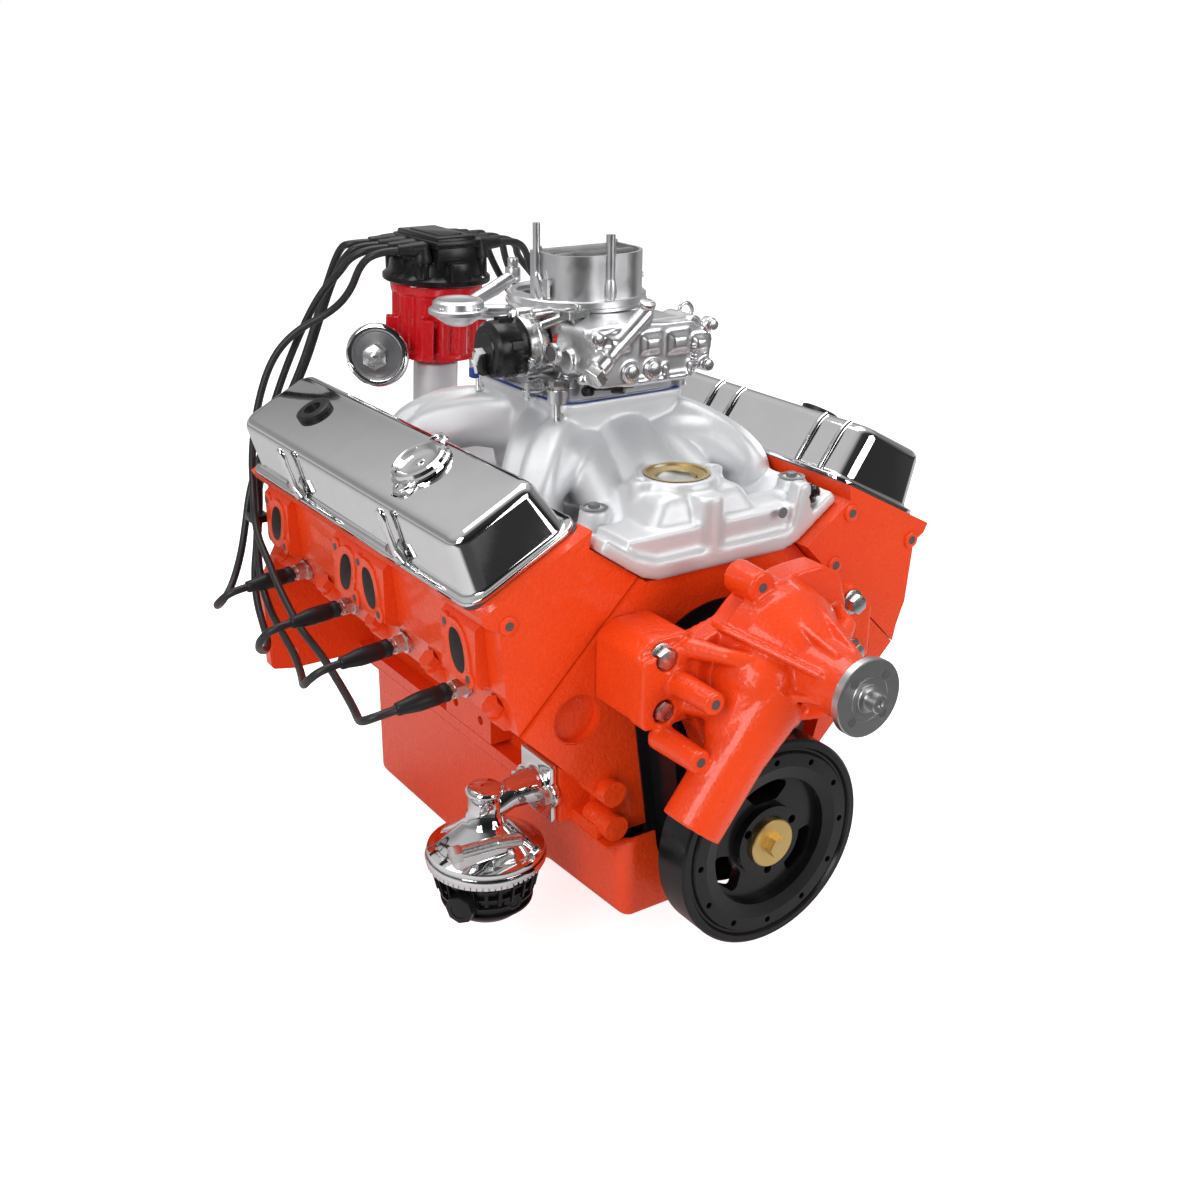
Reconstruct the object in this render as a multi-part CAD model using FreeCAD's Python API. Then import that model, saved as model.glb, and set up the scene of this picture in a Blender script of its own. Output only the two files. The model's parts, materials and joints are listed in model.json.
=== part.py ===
import FreeCAD, Part
import os
from math import sin, cos, tan, atan2, asin, acos, pi, sqrt, radians, degrees

os.makedirs("parts", exist_ok=True)
V = FreeCAD.Vector

# The frame: crank axis along Y, front of the engine towards -Y, +X the driver's side, +Z up.
# The origin is the crank centre line at the block's rear face. All sizes are in millimetres.

# Cylinders and crank train
bore = 101.6
stroke = 88.4
rod_length = 144.8
bore_spacing = 111.76
deck_height = 229.2
bank_angle = 90.0
bank_centre = {1: -272.2, -1: -249.8}
main_journal_r = 31.1
crankpin_r = 26.7
crankpin_width = 47.0
main_width = 24.0
counterweight_r = 76.0
compression_height = 39.6
piston_length = 58.0
wrist_pin_r = 11.8
bearing_wall = 2.4
fit = 0.05
gap = 0.4

# Valve train
cam_height = 114.8
cam_journal_r = 23.7
cam_base_r = 15.0
cam_lift = 7.0
lifter_r = 10.7
lifter_length = 52.0
valve_offset = 24.5
valve_tilt = 27.5
valve_stem_r = 4.35
intake_valve_r = 24.5
exhaust_valve_r = 20.3
valve_length = 112.0
pushrod_r = 4.0
spring_r = 16.0

# Castings
block_front = -500.0
left_bank_front = -518.0
rail_half = 127.0
skirt_half = 108.0
jacket_b = 58.0
valley_b = -62.0
head_inner_b = -110.0
gasket = 1.2
head_half = 246.0
head_rear = 235.0
cavity_r = 96.0
china_height = 236.0
bell_half = 232.0
bell_thick = 14.0
intake_angle = 35.0

# Valve covers
rail_x = 184.8
rail_z = 263.2
cover_tilt = 27.5
cover_height = 57.6
flange_half_width = 59.7
flange_half_length = 231.5
cover_top_half = 43.8
sheet = 1.6

# Front end
balancer_r = 99.5
balancer_front = -590.5
balancer_thick = 35.6
snout_r = 15.9
pump_axis_z = 183.8
pump_hub_y = -692.7
pump_hub_r = 33.5
pump_shaft_r = 7.95
cover_front = -541.0
pump_bolt_spots = [(-107.0, 197.0), (-109.0, 150.5), (104.0, 198.5), (107.0, 150.5)]
pump_bolt_r = 4.7

# Induction
carb_x = -6.0
carb_y = -279.0
carb_pad_z = 358.0
horn_z = 441.0
horn_r = 65.1
primary_r = 17.5
secondary_r = 20.6
barrel_x = 22.5
barrel_y = 24.0
thermostat_x = -10.0
thermostat_y = -447.0
thermostat_z = 308.0
thermostat_r = 27.5

# Ignition
distributor_top = V(-28.0, -45.0, 441.0)
distributor_foot = V(-43.0, -35.0, 0.0)
cap_r = 50.0
distributor_body_r = 40.0
wire_r = 3.9
plug_x = 213.5
plug_z = 140.3
plug_angle = 5.0
boot_r = 8.4
boot_length = 64.0

HALF = sin(radians(bank_angle / 2))
sides = (-1, 1)
cylinders = range(4)
bore_r = bore / 2
throw = stroke / 2
bank_step = (bank_centre[-1] - bank_centre[1]) / 2
engine_mid = (bank_centre[-1] + bank_centre[1]) / 2
pin_y = [engine_mid + (k - 1.5) * bore_spacing for k in cylinders]
main_y = [engine_mid + (k - 2) * bore_spacing for k in range(5)]


# Helpers for shapes

def flat(side, a, b):
    """x and z of a point a along the bores and b outboard of them."""
    return side * HALF * (a + b), HALF * (a - b)


def at(side, a, b, y):
    x, z = flat(side, a, b)
    return V(x, y, z)


def bore_y(side, k):
    return bank_centre[side] + (k - 1.5) * bore_spacing


def valve_y(side, k, kind):
    outer = -1 if k % 2 == 0 else 1
    return bore_y(side, k) + (outer if kind == "exhaust" else -outer) * valve_offset


def rod(radius, start, end):
    return Part.makeCylinder(radius, (end - start).Length, start, end - start)


def cone(radius, end_radius, start, end):
    return Part.makeCone(radius, end_radius, (end - start).Length, start, end - start)


def box(x0, x1, y0, y1, z0, z1):
    return Part.makeBox(x1 - x0, y1 - y0, z1 - z0, V(x0, y0, z0))


def along_y(radius, y0, y1, x=0.0, z=0.0):
    return Part.makeCylinder(radius, y1 - y0, V(x, y0, z), V(0, 1, 0))


def up(radius, x, y, z0, z1):
    return Part.makeCylinder(radius, z1 - z0, V(x, y, z0), V(0, 0, 1))


def ring(outer, inner, start, end):
    way = (end - start).normalize()
    return rod(outer, start, end).cut(rod(inner, start - way, end + way))


def rounded(points, radius):
    """Closed wire through the points, with each corner rounded."""
    count = len(points)
    radii = radius if isinstance(radius, list) else [radius] * count
    edges = []
    arcs = []
    for i in range(count):
        here, before, after = points[i], points[i - 1], points[(i + 1) % count]
        to_before = (before - here).normalize()
        to_after = (after - here).normalize()
        half = to_before.getAngle(to_after) / 2
        if radii[i] <= 0 or half > pi / 2 - 0.01:
            arcs.append((here, None, here))
            continue
        reach = radii[i] / tan(half)
        middle = (to_before + to_after).normalize() * (radii[i] / sin(half) - radii[i])
        arcs.append((here + to_before * reach, here + middle, here + to_after * reach))
    for i in range(count):
        start, middle, end = arcs[i]
        if middle is not None:
            edges.append(Part.Arc(start, middle, end).toShape())
        following = arcs[(i + 1) % count][0]
        if (following - end).Length > 1e-6:
            edges.append(Part.LineSegment(end, following).toShape())
    return Part.Wire(edges)


def slab(points, y0, y1, radius=0.0):
    """A plate between y0 and y1 with an outline given as x and z."""
    wire = rounded([V(x, y0, z) for x, z in points], radius)
    return Part.Face(wire).extrude(V(0, y1 - y0, 0))


def plate(points, z0, z1, radius=0.0):
    """A plate between z0 and z1 with an outline given as x and y."""
    wire = rounded([V(x, y, z0) for x, y in points], radius)
    return Part.Face(wire).extrude(V(0, 0, z1 - z0))


def rectangle(half_x, half_y, z, radius, x=0.0, y=0.0):
    corners = [(x - half_x, y - half_y), (x + half_x, y - half_y), (x + half_x, y + half_y), (x - half_x, y + half_y)]
    return rounded([V(px, py, z) for px, py in corners], radius)


def turned(profile, base, axis):
    """A solid of revolution: profile as radius and height along the axis from the base."""
    points = [V(r, 0, h) for r, h in profile]
    face = Part.Face(Part.makePolygon(points + [points[0]]))
    solid = face.revolve(V(0, 0, 0), V(0, 0, 1), 360)
    solid.Placement = FreeCAD.Placement(base, FreeCAD.Rotation(V(0, 0, 1), axis))
    return solid


def hexagon(across, start, end):
    wire = Part.makePolygon([V(across / sqrt(3) * cos(k * pi / 3), across / sqrt(3) * sin(k * pi / 3), 0)
                             for k in range(7)])
    solid = Part.Face(wire).extrude(V(0, 0, (end - start).Length))
    solid.Placement = FreeCAD.Placement(start, FreeCAD.Rotation(V(0, 0, 1), end - start))
    return solid


def bolt(seat, way, shank_r, shank, across, head):
    """A hexagon bolt with a washer face: way points out of the work."""
    return hexagon(across, seat, seat + way * head).fuse(rod(shank_r, seat - way * shank, seat))


def fused(shapes):
    first, *rest = shapes
    return first.multiFuse(rest).removeSplitter() if rest else first


def cut(shape, tools):
    return shape.cut(Part.makeCompound(tools)) if len(tools) == 1 else shape.cut(fused(tools))


def mirrored(points):
    """A half outline on +X, from the centre line out, made whole."""
    return points + [(-x, z) for x, z in reversed(points) if abs(x) > 1e-6]


def export(name, shapes):
    shape = Part.makeCompound(shapes) if isinstance(shapes, list) else shapes
    for solid in shape.Solids:
        if not solid.isValid():
            print("invalid solid in", name)
    shape.exportStep("parts/" + name + ".step")
    print(name, len(shape.Solids), round(shape.Volume / 1000, 1))


# Engine block: a grey-iron casting, two banks of four bores over the crankcase

deck_outer = flat(1, deck_height, jacket_b)
deck_inner = flat(1, deck_height, valley_b)
end_inner = flat(1, deck_height, head_inner_b)
skirt_top = flat(1, 106.0, jacket_b)
boss_top_a = 178.0
boss_b = -98.0
valley_floor = 160.0
rail_thick = 12.0
block_half = [(0, valley_floor), (24, valley_floor), flat(1, 150, boss_b), flat(1, boss_top_a, boss_b),
              flat(1, boss_top_a, valley_b), deck_inner, deck_outer, skirt_top, (skirt_half, 22),
              (skirt_half, rail_thick), (rail_half, rail_thick), (rail_half, 0)]
wall_half = [(0, china_height), (end_inner[0] - 5, china_height), end_inner, deck_outer, skirt_top,
             (skirt_half, 22), (skirt_half, rail_thick), (rail_half, rail_thick), (rail_half, 0)]
end_wall = 22.0
main_block = slab(mirrored(block_half), block_front, 0)
front_wall = slab(mirrored(wall_half), block_front, block_front + end_wall)
rear_wall = slab(mirrored(wall_half), -end_wall, 0)
left_step = slab([flat(1, deck_height, -44), deck_outer, skirt_top, (skirt_half, 40), (134, 130)],
                 left_bank_front, block_front)

low_bolt_b, low_seat_a = 50.5, 249.0
high_bolt_b, high_seat_a = -52.0, 303.0
head_bolt_r = 5.5
bolt_end_a = 198.0
low_row = [-223.5, -111.8, 0.0, 111.8, 223.5]
high_row = [-217.5, -111.8, 0.0, 111.8, 217.5]
head_bolt_spots = {side: [(bank_centre[side] + d, low_bolt_b, low_seat_a) for d in low_row]
                   + [(bank_centre[side] + d, high_bolt_b, high_seat_a) for d in high_row] for side in sides}
bell_holes = [(205.0, 19.0, bell_thick + 1), (166.0, 138.0, bell_thick + 8), (68.0, 224.0, bell_thick + 1)]
bell_half_outline = [(0, 243), (84, 243), (196, 176), (bell_half + 4, 100), (bell_half, 5), (206, 0)]
bell_flange = slab(mirrored(bell_half_outline), -bell_thick, 0, 6.0)
bell_flange = bell_flange.cut(box(-rail_half - 30, rail_half + 30, -bell_thick, 0, -1, 0))

pump_pad_x = -140.0
fuel_pump_y = -430.0
fuel_pad_z = 28.0
fuel_pad_half = 30.0
fuel_bolt_d = 23.0
fuel_pad = box(pump_pad_x, -skirt_half + 6, fuel_pump_y - fuel_pad_half, fuel_pump_y + fuel_pad_half, 2, 56)
front_boss_spots = [(-117.0, 47.6), (-114.0, 12.0)]
front_bosses = [along_y(12.0, block_front - 12, block_front + 26, x, z) for x, z in front_boss_spots]
mount_pad_y = {1: (-344.4, -254.4), -1: (-322.0, -232.0)}
mount_pad_x = 132.0
mount_pads = [box(min(s * (skirt_half - 6), s * mount_pad_x), max(s * (skirt_half - 6), s * mount_pad_x),
                  mount_pad_y[s][0], mount_pad_y[s][1], 18, 54) for s in sides]

block = fused([main_block, front_wall, rear_wall, left_step, bell_flange, fuel_pad] + front_bosses + mount_pads)

tools = []
for front, rear in zip(main_y[:-1], main_y[1:]):
    tools.append(along_y(cavity_r, front + main_width / 2, rear - main_width / 2))
tools.append(along_y(main_journal_r + bearing_wall + fit, block_front - 20, -25))
tools.append(along_y(59.0, -25, 1))
tools.append(along_y(cam_journal_r + fit, block_front - 1, 1, 0, cam_height))
for side in sides:
    for y, b, seat_a in head_bolt_spots[side]:
        tools.append(rod(head_bolt_r + fit, at(side, bolt_end_a - 8, b, y), at(side, deck_height + 1, b, y)))
    for k in cylinders:
        y = bore_y(side, k)
        tools.append(rod(bore_r, at(side, 80, 0, y), at(side, deck_height + 1, 0, y)))
        for kind in ("intake", "exhaust"):
            vy = valve_y(side, k, kind)
            b = -cam_height * HALF
            tools.append(rod(lifter_r + fit, at(side, 90, b, vy), at(side, boss_top_a + 2, b, vy)))
for x, z, depth in bell_holes:
    for side in sides:
        tools.append(along_y(5.5, -depth, 1, side * x, z))
tools.append(box(pump_pad_x - 1, -88, fuel_pump_y - 14, fuel_pump_y + 14, fuel_pad_z - 13, fuel_pad_z + 13))
for d in (-fuel_bolt_d, fuel_bolt_d):
    tools.append(rod(4.35, V(pump_pad_x - 1, fuel_pump_y + d, fuel_pad_z), V(pump_pad_x + 16, fuel_pump_y + d, fuel_pad_z)))
plug_cup_r = 20.6
cup_depth = 9.0
side_cups = [(side, at(side, 168, jacket_b, bank_centre[side] + step * bore_spacing)) for side in sides
             for step in (-1, 0, 1)]
for side, spot in side_cups:
    way = V(side * HALF, 0, -HALF)
    tools.append(rod(plug_cup_r + fit, spot - way * cup_depth, spot + way))
front_cups = [V(-149, block_front, 125), V(149, left_bank_front, 125)]
for x, z in pump_bolt_spots:
    tools.append(along_y(pump_bolt_r + fit, block_front - 1, block_front + 14, x, z))
for spot in front_cups:
    tools.append(rod(plug_cup_r + 3 + fit, spot - V(0, 1, 0), spot + V(0, cup_depth, 0)))
mount_hole_z = 36.0
mount_hole_r = 4.9
for side in sides:
    for y in (mount_pad_y[side][0] + 20, mount_pad_y[side][1] - 20):
        tools.append(rod(mount_hole_r, V(side * (mount_pad_x + 1), y, mount_hole_z),
                         V(side * (mount_pad_x - 20), y, mount_hole_z)))
axis_way = (distributor_top - distributor_foot).normalize()
cam_gear_r = 23.2
drive_gear_r = 15.6


def on_axis(z):
    return distributor_foot + axis_way * (z / axis_way.z)


tools.append(rod(drive_gear_r + 1.0, on_axis(104), on_axis(128)))
tools.append(rod(16.0, on_axis(198), on_axis(240)))
tools.append(rod(8.0, on_axis(-1), on_axis(200)))
block = cut(block, tools)
export("engine_block", block)

cups = []
for side, spot in side_cups:
    way = V(side * HALF, 0, -HALF)
    cups.append(turned([(0, 0), (plug_cup_r, 0), (plug_cup_r, 8), (plug_cup_r - 1.5, 8), (plug_cup_r - 1.5, 1.5),
                        (0, 1.5)], spot - way * cup_depth, way))
for spot in front_cups:
    r = plug_cup_r + 3
    cups.append(turned([(0, 0), (r, 0), (r, 8), (r - 1.5, 8), (r - 1.5, 1.5), (0, 1.5)],
                       spot + V(0, cup_depth, 0), V(0, -1, 0)))
export("core_plugs", cups)

# Main bearings and caps: split shells under iron caps

cap_drop = 62.0
shells = []
caps = []
for y in main_y:
    r = main_journal_r + bearing_wall
    shells.append(ring(r, main_journal_r + fit, V(0, y - main_width / 2 + 1, 0), V(0, y + main_width / 2 - 1, 0)))
    cap = slab([(-66, -0.1), (66, -0.1), (66, -30), (40, -cap_drop), (-40, -cap_drop), (-66, -30)],
               y - main_width / 2, y + main_width / 2)
    cap = cap.cut(along_y(r + fit, y - 20, y + 20))
    if y == main_y[-1]:
        cap = cap.cut(rod(8.0, on_axis(-80), on_axis(10)))
    caps.append(cap)
export("main_caps", caps + shells)

# Crankshaft: four throws at right angles, with sectors of counterweight opposite each throw

throw_angle = [90.0, 0.0, 180.0, 270.0]
flange_r = 56.0
flange_pcd = 90.9
flange_y = -1.0
crank = []
front_end = balancer_front + 8
crank.append(along_y(snout_r, front_end, main_y[0] + 12))
crank.append(along_y(snout_r + 5, cover_front + 12, block_front - 6))
for y in main_y:
    crank.append(along_y(main_journal_r, y - main_width / 2 - 0.5, y + main_width / 2 + 0.5))
cheek_r = 35.0
cheek_spread = radians(62)
for k in cylinders:
    angle = radians(throw_angle[k])
    out = V(cos(angle), 0, sin(angle))
    across = V(-sin(angle), 0, cos(angle))
    centre = out * throw
    start, end = pin_y[k] - crankpin_width / 2, pin_y[k] + crankpin_width / 2
    crank.append(along_y(crankpin_r, start, end, centre.x, centre.z))
    for y0, y1 in ((main_y[k] + main_width / 2 + 0.5, start), (end, main_y[k + 1] - main_width / 2 - 0.5)):
        arm = fused([along_y(cheek_r, y0, y1, centre.x, centre.z), along_y(cheek_r + 4, y0, y1)])
        spread = cheek_spread
        left = V(0, y0, 0) - out * (counterweight_r * cos(spread)) + across * (counterweight_r * sin(spread))
        far = V(0, y0, 0) - out * counterweight_r
        right = V(0, y0, 0) - out * (counterweight_r * cos(spread)) - across * (counterweight_r * sin(spread))
        inner = V(0, y0, 0) + out * 20
        wire = Part.Wire([Part.LineSegment(inner, left).toShape(), Part.Arc(left, far, right).toShape(),
                          Part.LineSegment(right, inner).toShape()])
        sector = Part.Face(wire).extrude(V(0, y1 - y0, 0))
        crank.append(fused([arm, sector]))
crank.append(along_y(main_journal_r + 2, main_y[-1] + 12, -14))
crank.append(along_y(flange_r, -14, flange_y))
crankshaft = fused(crank)
flange_bolts = [V(flange_pcd / 2 * cos(k * pi / 3 + 0.35), 0, flange_pcd / 2 * sin(k * pi / 3 + 0.35)) for k in range(6)]
tools = [along_y(21.65, -6, 0), along_y(13.9, -40, 0), along_y(5.5, front_end - 1, front_end + 45)]
crankshaft = cut(crankshaft, tools + [along_y(5.0, -14.5, 0, p.x, p.z) for p in flange_bolts])
export("crankshaft", crankshaft)

# Pistons, wrist pins and rods: eight of each

pistons, pins, rods = [], [], []
for side in sides:
    bore_way = V(side * HALF, 0, HALF)
    outboard = V(side * HALF, 0, -HALF)
    for k in cylinders:
        y = bore_y(side, k)
        angle = radians(throw_angle[k])
        crankpin = V(throw * cos(angle), y, throw * sin(angle))
        along = crankpin.dot(bore_way)
        offset = crankpin.dot(outboard)
        pin_a = along + sqrt(rod_length ** 2 - offset ** 2)
        centre = V(0, y, 0) + bore_way * pin_a
        crown = centre + bore_way * compression_height
        body = rod(bore_r - fit, crown - bore_way * piston_length, crown)
        hollow = rod(bore_r - 6, crown - bore_way * (piston_length + 1), crown - bore_way * 12)
        boss = rod(19.0, centre - V(0, bore_r - 8, 0), centre + V(0, bore_r - 8, 0))
        slot = rod(19.0 + 1.0, centre - V(0, 14, 0), centre + V(0, 14, 0))
        body = body.cut(hollow).fuse(boss.cut(slot).common(rod(bore_r - 3, crown - bore_way * piston_length, crown)))
        body = body.cut(rod(wrist_pin_r + fit, centre - V(0, 60, 0), centre + V(0, 60, 0)))
        for depth in (7.0, 13.0, 19.0):
            body = body.cut(ring(bore_r + 1, bore_r - 2.5, crown - bore_way * (depth + 1.6), crown - bore_way * depth))
        pistons.append(body)
        pins.append(rod(wrist_pin_r, centre - V(0, 36, 0), centre + V(0, 36, 0)))
        half = crankpin_width / 4 - gap / 2
        big = along_y(39.0, y - half, y + half, crankpin.x, crankpin.z)
        small = along_y(18.0, y - half, y + half, centre.x, centre.z)
        way = (centre - V(crankpin.x, y, crankpin.z)).normalize()
        normal = V(way.z, 0, -way.x)
        low = V(crankpin.x, 0, crankpin.z) + way * 30
        high = V(centre.x, 0, centre.z) - way * 12
        beam = slab([((low + normal * 13).x, (low + normal * 13).z), ((high + normal * 9).x, (high + normal * 9).z),
                     ((high - normal * 9).x, (high - normal * 9).z), ((low - normal * 13).x, (low - normal * 13).z)],
                    y - 8, y + 8)
        body = fused([big, small, beam])
        body = cut(body, [along_y(crankpin_r + fit, y - 20, y + 20, crankpin.x, crankpin.z),
                          along_y(wrist_pin_r + fit, y - 20, y + 20, centre.x, centre.z)])
        rods.append(body)
export("pistons", pistons + pins)
export("connecting_rods", rods)

# Camshaft: five journals, sixteen lobes and the gear that turns the distributor

cam_gear_y = on_axis(cam_height).y
cam_front = block_front - 14
nose_r = 6.0
cam = [along_y(11.0, cam_front, -4, 0, cam_height)]
journal_y = main_y[:-1] + [-13.0]
for y in journal_y:
    cam.append(along_y(cam_journal_r, y - 9, y + 9, 0, cam_height))
cam.append(along_y(cam_gear_r, cam_gear_y - 8, cam_gear_y + 8, 0, cam_height))
firing_order = [1, 8, 4, 3, 6, 5, 7, 2]
lobe_centre = {"intake": 468.0, "exhaust": 252.0}


def lobe(y, angle):
    out = cam_base_r + cam_lift - nose_r
    wrap = acos((cam_base_r - nose_r) / out)
    points = []
    for r, centre, turn in ((cam_base_r, 0, wrap), (cam_base_r, 0, pi), (cam_base_r, 0, -wrap),
                            (nose_r, out, -wrap), (nose_r, out, 0), (nose_r, out, wrap)):
        x = centre * cos(angle) + r * cos(angle + turn)
        z = centre * sin(angle) + r * sin(angle + turn)
        points.append(V(x, y - 7, cam_height + z))
    edges = [Part.Arc(points[0], points[1], points[2]), Part.LineSegment(points[2], points[3]),
             Part.Arc(points[3], points[4], points[5]), Part.LineSegment(points[5], points[0])]
    return Part.Face(Part.Wire([edge.toShape() for edge in edges])).extrude(V(0, 14, 0))


for side in sides:
    for k in cylinders:
        number = 2 * k + (1 if side == 1 else 2)
        turn = firing_order.index(number) * 90
        for kind in ("intake", "exhaust"):
            angle = radians(90 - side * bank_angle / 2) + radians(turn + lobe_centre[kind]) / 2
            cam.append(lobe(valve_y(side, k, kind), angle))
camshaft = fused(cam)
export("camshaft", camshaft)

# Timing set: two sprockets and a link chain

chain_y = (-523.0, -509.0)
crank_sprocket_r = 27.5
cam_sprocket_r = 55.0


def sprocket(pitch_r, teeth, z, shaft_r):
    points = []
    for k in range(teeth):
        for r, step in ((pitch_r - 3, -0.32), (pitch_r + 1.5, -0.14), (pitch_r + 1.5, 0.14), (pitch_r - 3, 0.32)):
            turn = (k + step) * 2 * pi / teeth
            points.append((r * cos(turn), z + r * sin(turn)))
    body = slab(points, chain_y[0], chain_y[1])
    return body.cut(along_y(shaft_r, chain_y[0] - 1, chain_y[1] + 1, 0, z))


crank_sprocket = sprocket(crank_sprocket_r, 22, 0, snout_r + 5 + fit)
cam_sprocket = sprocket(cam_sprocket_r, 44, cam_height, 11.0 + fit)
holes = [along_y(9.0, -530, -500, 32 * cos(k * pi / 3), cam_height + 32 * sin(k * pi / 3)) for k in range(6)]
export("crank_sprocket", crank_sprocket)
export("cam_sprocket", cut(cam_sprocket, holes))


def belt_loop(extra):
    low, high = crank_sprocket_r + extra, cam_sprocket_r + extra
    lean = asin((high - low) / cam_height)
    c, s = cos(lean), sin(lean)
    y = chain_y[0]
    start = V(low * c, y, -low * s)
    edges = [Part.Arc(start, V(0, y, -low), V(-low * c, y, -low * s)),
             Part.LineSegment(V(-low * c, y, -low * s), V(-high * c, y, cam_height - high * s)),
             Part.Arc(V(-high * c, y, cam_height - high * s), V(0, y, cam_height + high),
                      V(high * c, y, cam_height - high * s)),
             Part.LineSegment(V(high * c, y, cam_height - high * s), start)]
    return Part.Face(Part.Wire([edge.toShape() for edge in edges])).extrude(V(0, chain_y[1] - chain_y[0], 0))


export("timing_chain", belt_loop(8.0).cut(belt_loop(2.1)))

# Timing cover: a pressed steel shell over the chain

def cover_shell(extra, y0, y1):
    low = 62.0 + extra
    high = 78.0 + extra
    lean = asin((high - low) / cam_height)
    c, s = cos(lean), sin(lean)
    edges = [Part.Arc(V(low * c, y0, -low * s), V(0, y0, -low), V(-low * c, y0, -low * s)),
             Part.LineSegment(V(-low * c, y0, -low * s), V(-high * c, y0, cam_height - high * s)),
             Part.Arc(V(-high * c, y0, cam_height - high * s), V(0, y0, cam_height + high),
                      V(high * c, y0, cam_height - high * s)),
             Part.LineSegment(V(high * c, y0, cam_height - high * s), V(low * c, y0, -low * s))]
    return Part.Face(Part.Wire([edge.toShape() for edge in edges])).extrude(V(0, y1 - y0, 0))


seat_y = block_front - 0.1
timing_cover = fused([cover_shell(0, cover_front, seat_y), cover_shell(11, seat_y - 2, seat_y)])
timing_cover = cut(timing_cover, [cover_shell(-sheet, cover_front + sheet, seat_y + 1),
                                  along_y(snout_r + 9 + gap, cover_front - 1, cover_front + 5)])
export("timing_cover", timing_cover)

# Harmonic balancer: inertia ring on a three-window hub, with timing dimples and a puller pattern

balancer_back = balancer_front + balancer_thick
profile = [(snout_r + fit, 4), (34, 4), (34, 12), (62, 12), (62, 3), (74, 0), (86, 0), (88, 3), (90, 3), (92, 0),
           (balancer_r - 2, 0), (balancer_r, 2), (balancer_r, balancer_thick), (58, balancer_thick), (58, 24),
           (26, 24), (26, balancer_thick + 10), (snout_r + fit, balancer_thick + 10)]
balancer = turned(profile, V(0, balancer_front, 0), V(0, 1, 0))
tools = []
for k in range(12):
    turn = 2 * pi * k / 12
    tools.append(along_y(3.0, balancer_front - 1, balancer_front + 5, 80 * cos(turn), 80 * sin(turn)))
for k in range(3):
    turn = 2 * pi * k / 3 + radians(30)
    tools.append(along_y(4.2, balancer_front - 1, balancer_front + 30, 29 * cos(turn), 29 * sin(turn)))
    middle = turn + pi / 3
    spread = radians(28)
    corners = [(r * cos(middle + t), r * sin(middle + t)) for r, t in
               ((38, -spread * 0.7), (57, -spread), (59.5, 0), (57, spread), (38, spread * 0.7))]
    tools.append(slab(corners, balancer_front - 1, balancer_back + 1, 5.0))
balancer = cut(balancer, tools)
export("harmonic_balancer", balancer)

bolt_seat = balancer_front + 4 - 0.1
crank_bolt = fused([turned([(0, -5), (22, -5), (23, -4), (23, 0), (5.4, 0), (5.4, 40), (0, 40)],
                           V(0, bolt_seat, 0), V(0, 1, 0)),
                    hexagon(17.5, V(0, bolt_seat - 14, 0), V(0, bolt_seat - 5, 0))])
export("crank_bolt", crank_bolt)

# Cylinder heads

head_deck = deck_height + gasket
head_low = flat(1, head_deck, head_inner_b)
head_out = flat(1, head_deck, jacket_b)
face_length = 61.0
face_top = (head_low[0] + face_length * cos(radians(intake_angle)), head_low[1] + face_length * sin(radians(intake_angle)))
tilt_cos, tilt_sin = cos(radians(cover_tilt)), sin(radians(cover_tilt))


def rail_point(u, n):
    """x and z of a point u outboard and n above the middle of the cover rail, on +X."""
    return rail_x + u * tilt_cos + n * tilt_sin, rail_z - u * tilt_sin + n * tilt_cos


port_z = 188.0
port_face_x = 230.0
rail_edge = flange_half_width
head_outline = [head_low, face_top, rail_point(-rail_edge, 0), rail_point(rail_edge, 0), rail_point(rail_edge, -10),
                (221, 220), (216, 160), (213, 153), (207.5, 138), head_out]
port_flange = [(200, 156), (216, 156), (port_face_x, 162), (port_face_x, 214), (222, 222), (200, 222)]
port_flange_y = [(-221.0, -163.0), (-54.0, 54.0), (163.0, 221.0)]
recess = [rail_point(-rail_edge + 11, 1), rail_point(rail_edge - 11, 1), rail_point(rail_edge - 11, -20),
          rail_point(-rail_edge + 11, -20)]
valve_way = {side: V(side * sin(radians(valve_tilt)), 0, cos(radians(valve_tilt))) for side in sides}
roof_a, roof_b = 241.0, -8.0
roof_slope = tan(radians(bank_angle / 2 - valve_tilt))
chamber_out_b = 34.0


def seat_point(side, y):
    return at(side, roof_a, roof_b, y)


def plug_way(side):
    return V(side * cos(radians(plug_angle)), 0, -sin(radians(plug_angle)))


port_half_y, port_half_z = 14.0, 20.0
intake_half = 11.0
intake_port_y = {side: [bank_centre[side] + (-1 if k < 2 else 1) * bore_spacing + (-1 if k % 2 == 0 else 1) * 15.0
                        for k in cylinders] for side in sides}
exhaust_port_y = {side: [bank_centre[side] + d for d in (-191.8, -25.0, 25.0, 191.8)] for side in sides}
pushrod_low_a = 104.0 + lifter_length
pushrod_top_u = -38.6
pushrod_top_n = 24.0


def pushrod_ends(side, y):
    low = at(side, pushrod_low_a, -cam_height * HALF, y)
    x, z = rail_point(pushrod_top_u, pushrod_top_n)
    return low, V(side * x, y, z)


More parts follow.
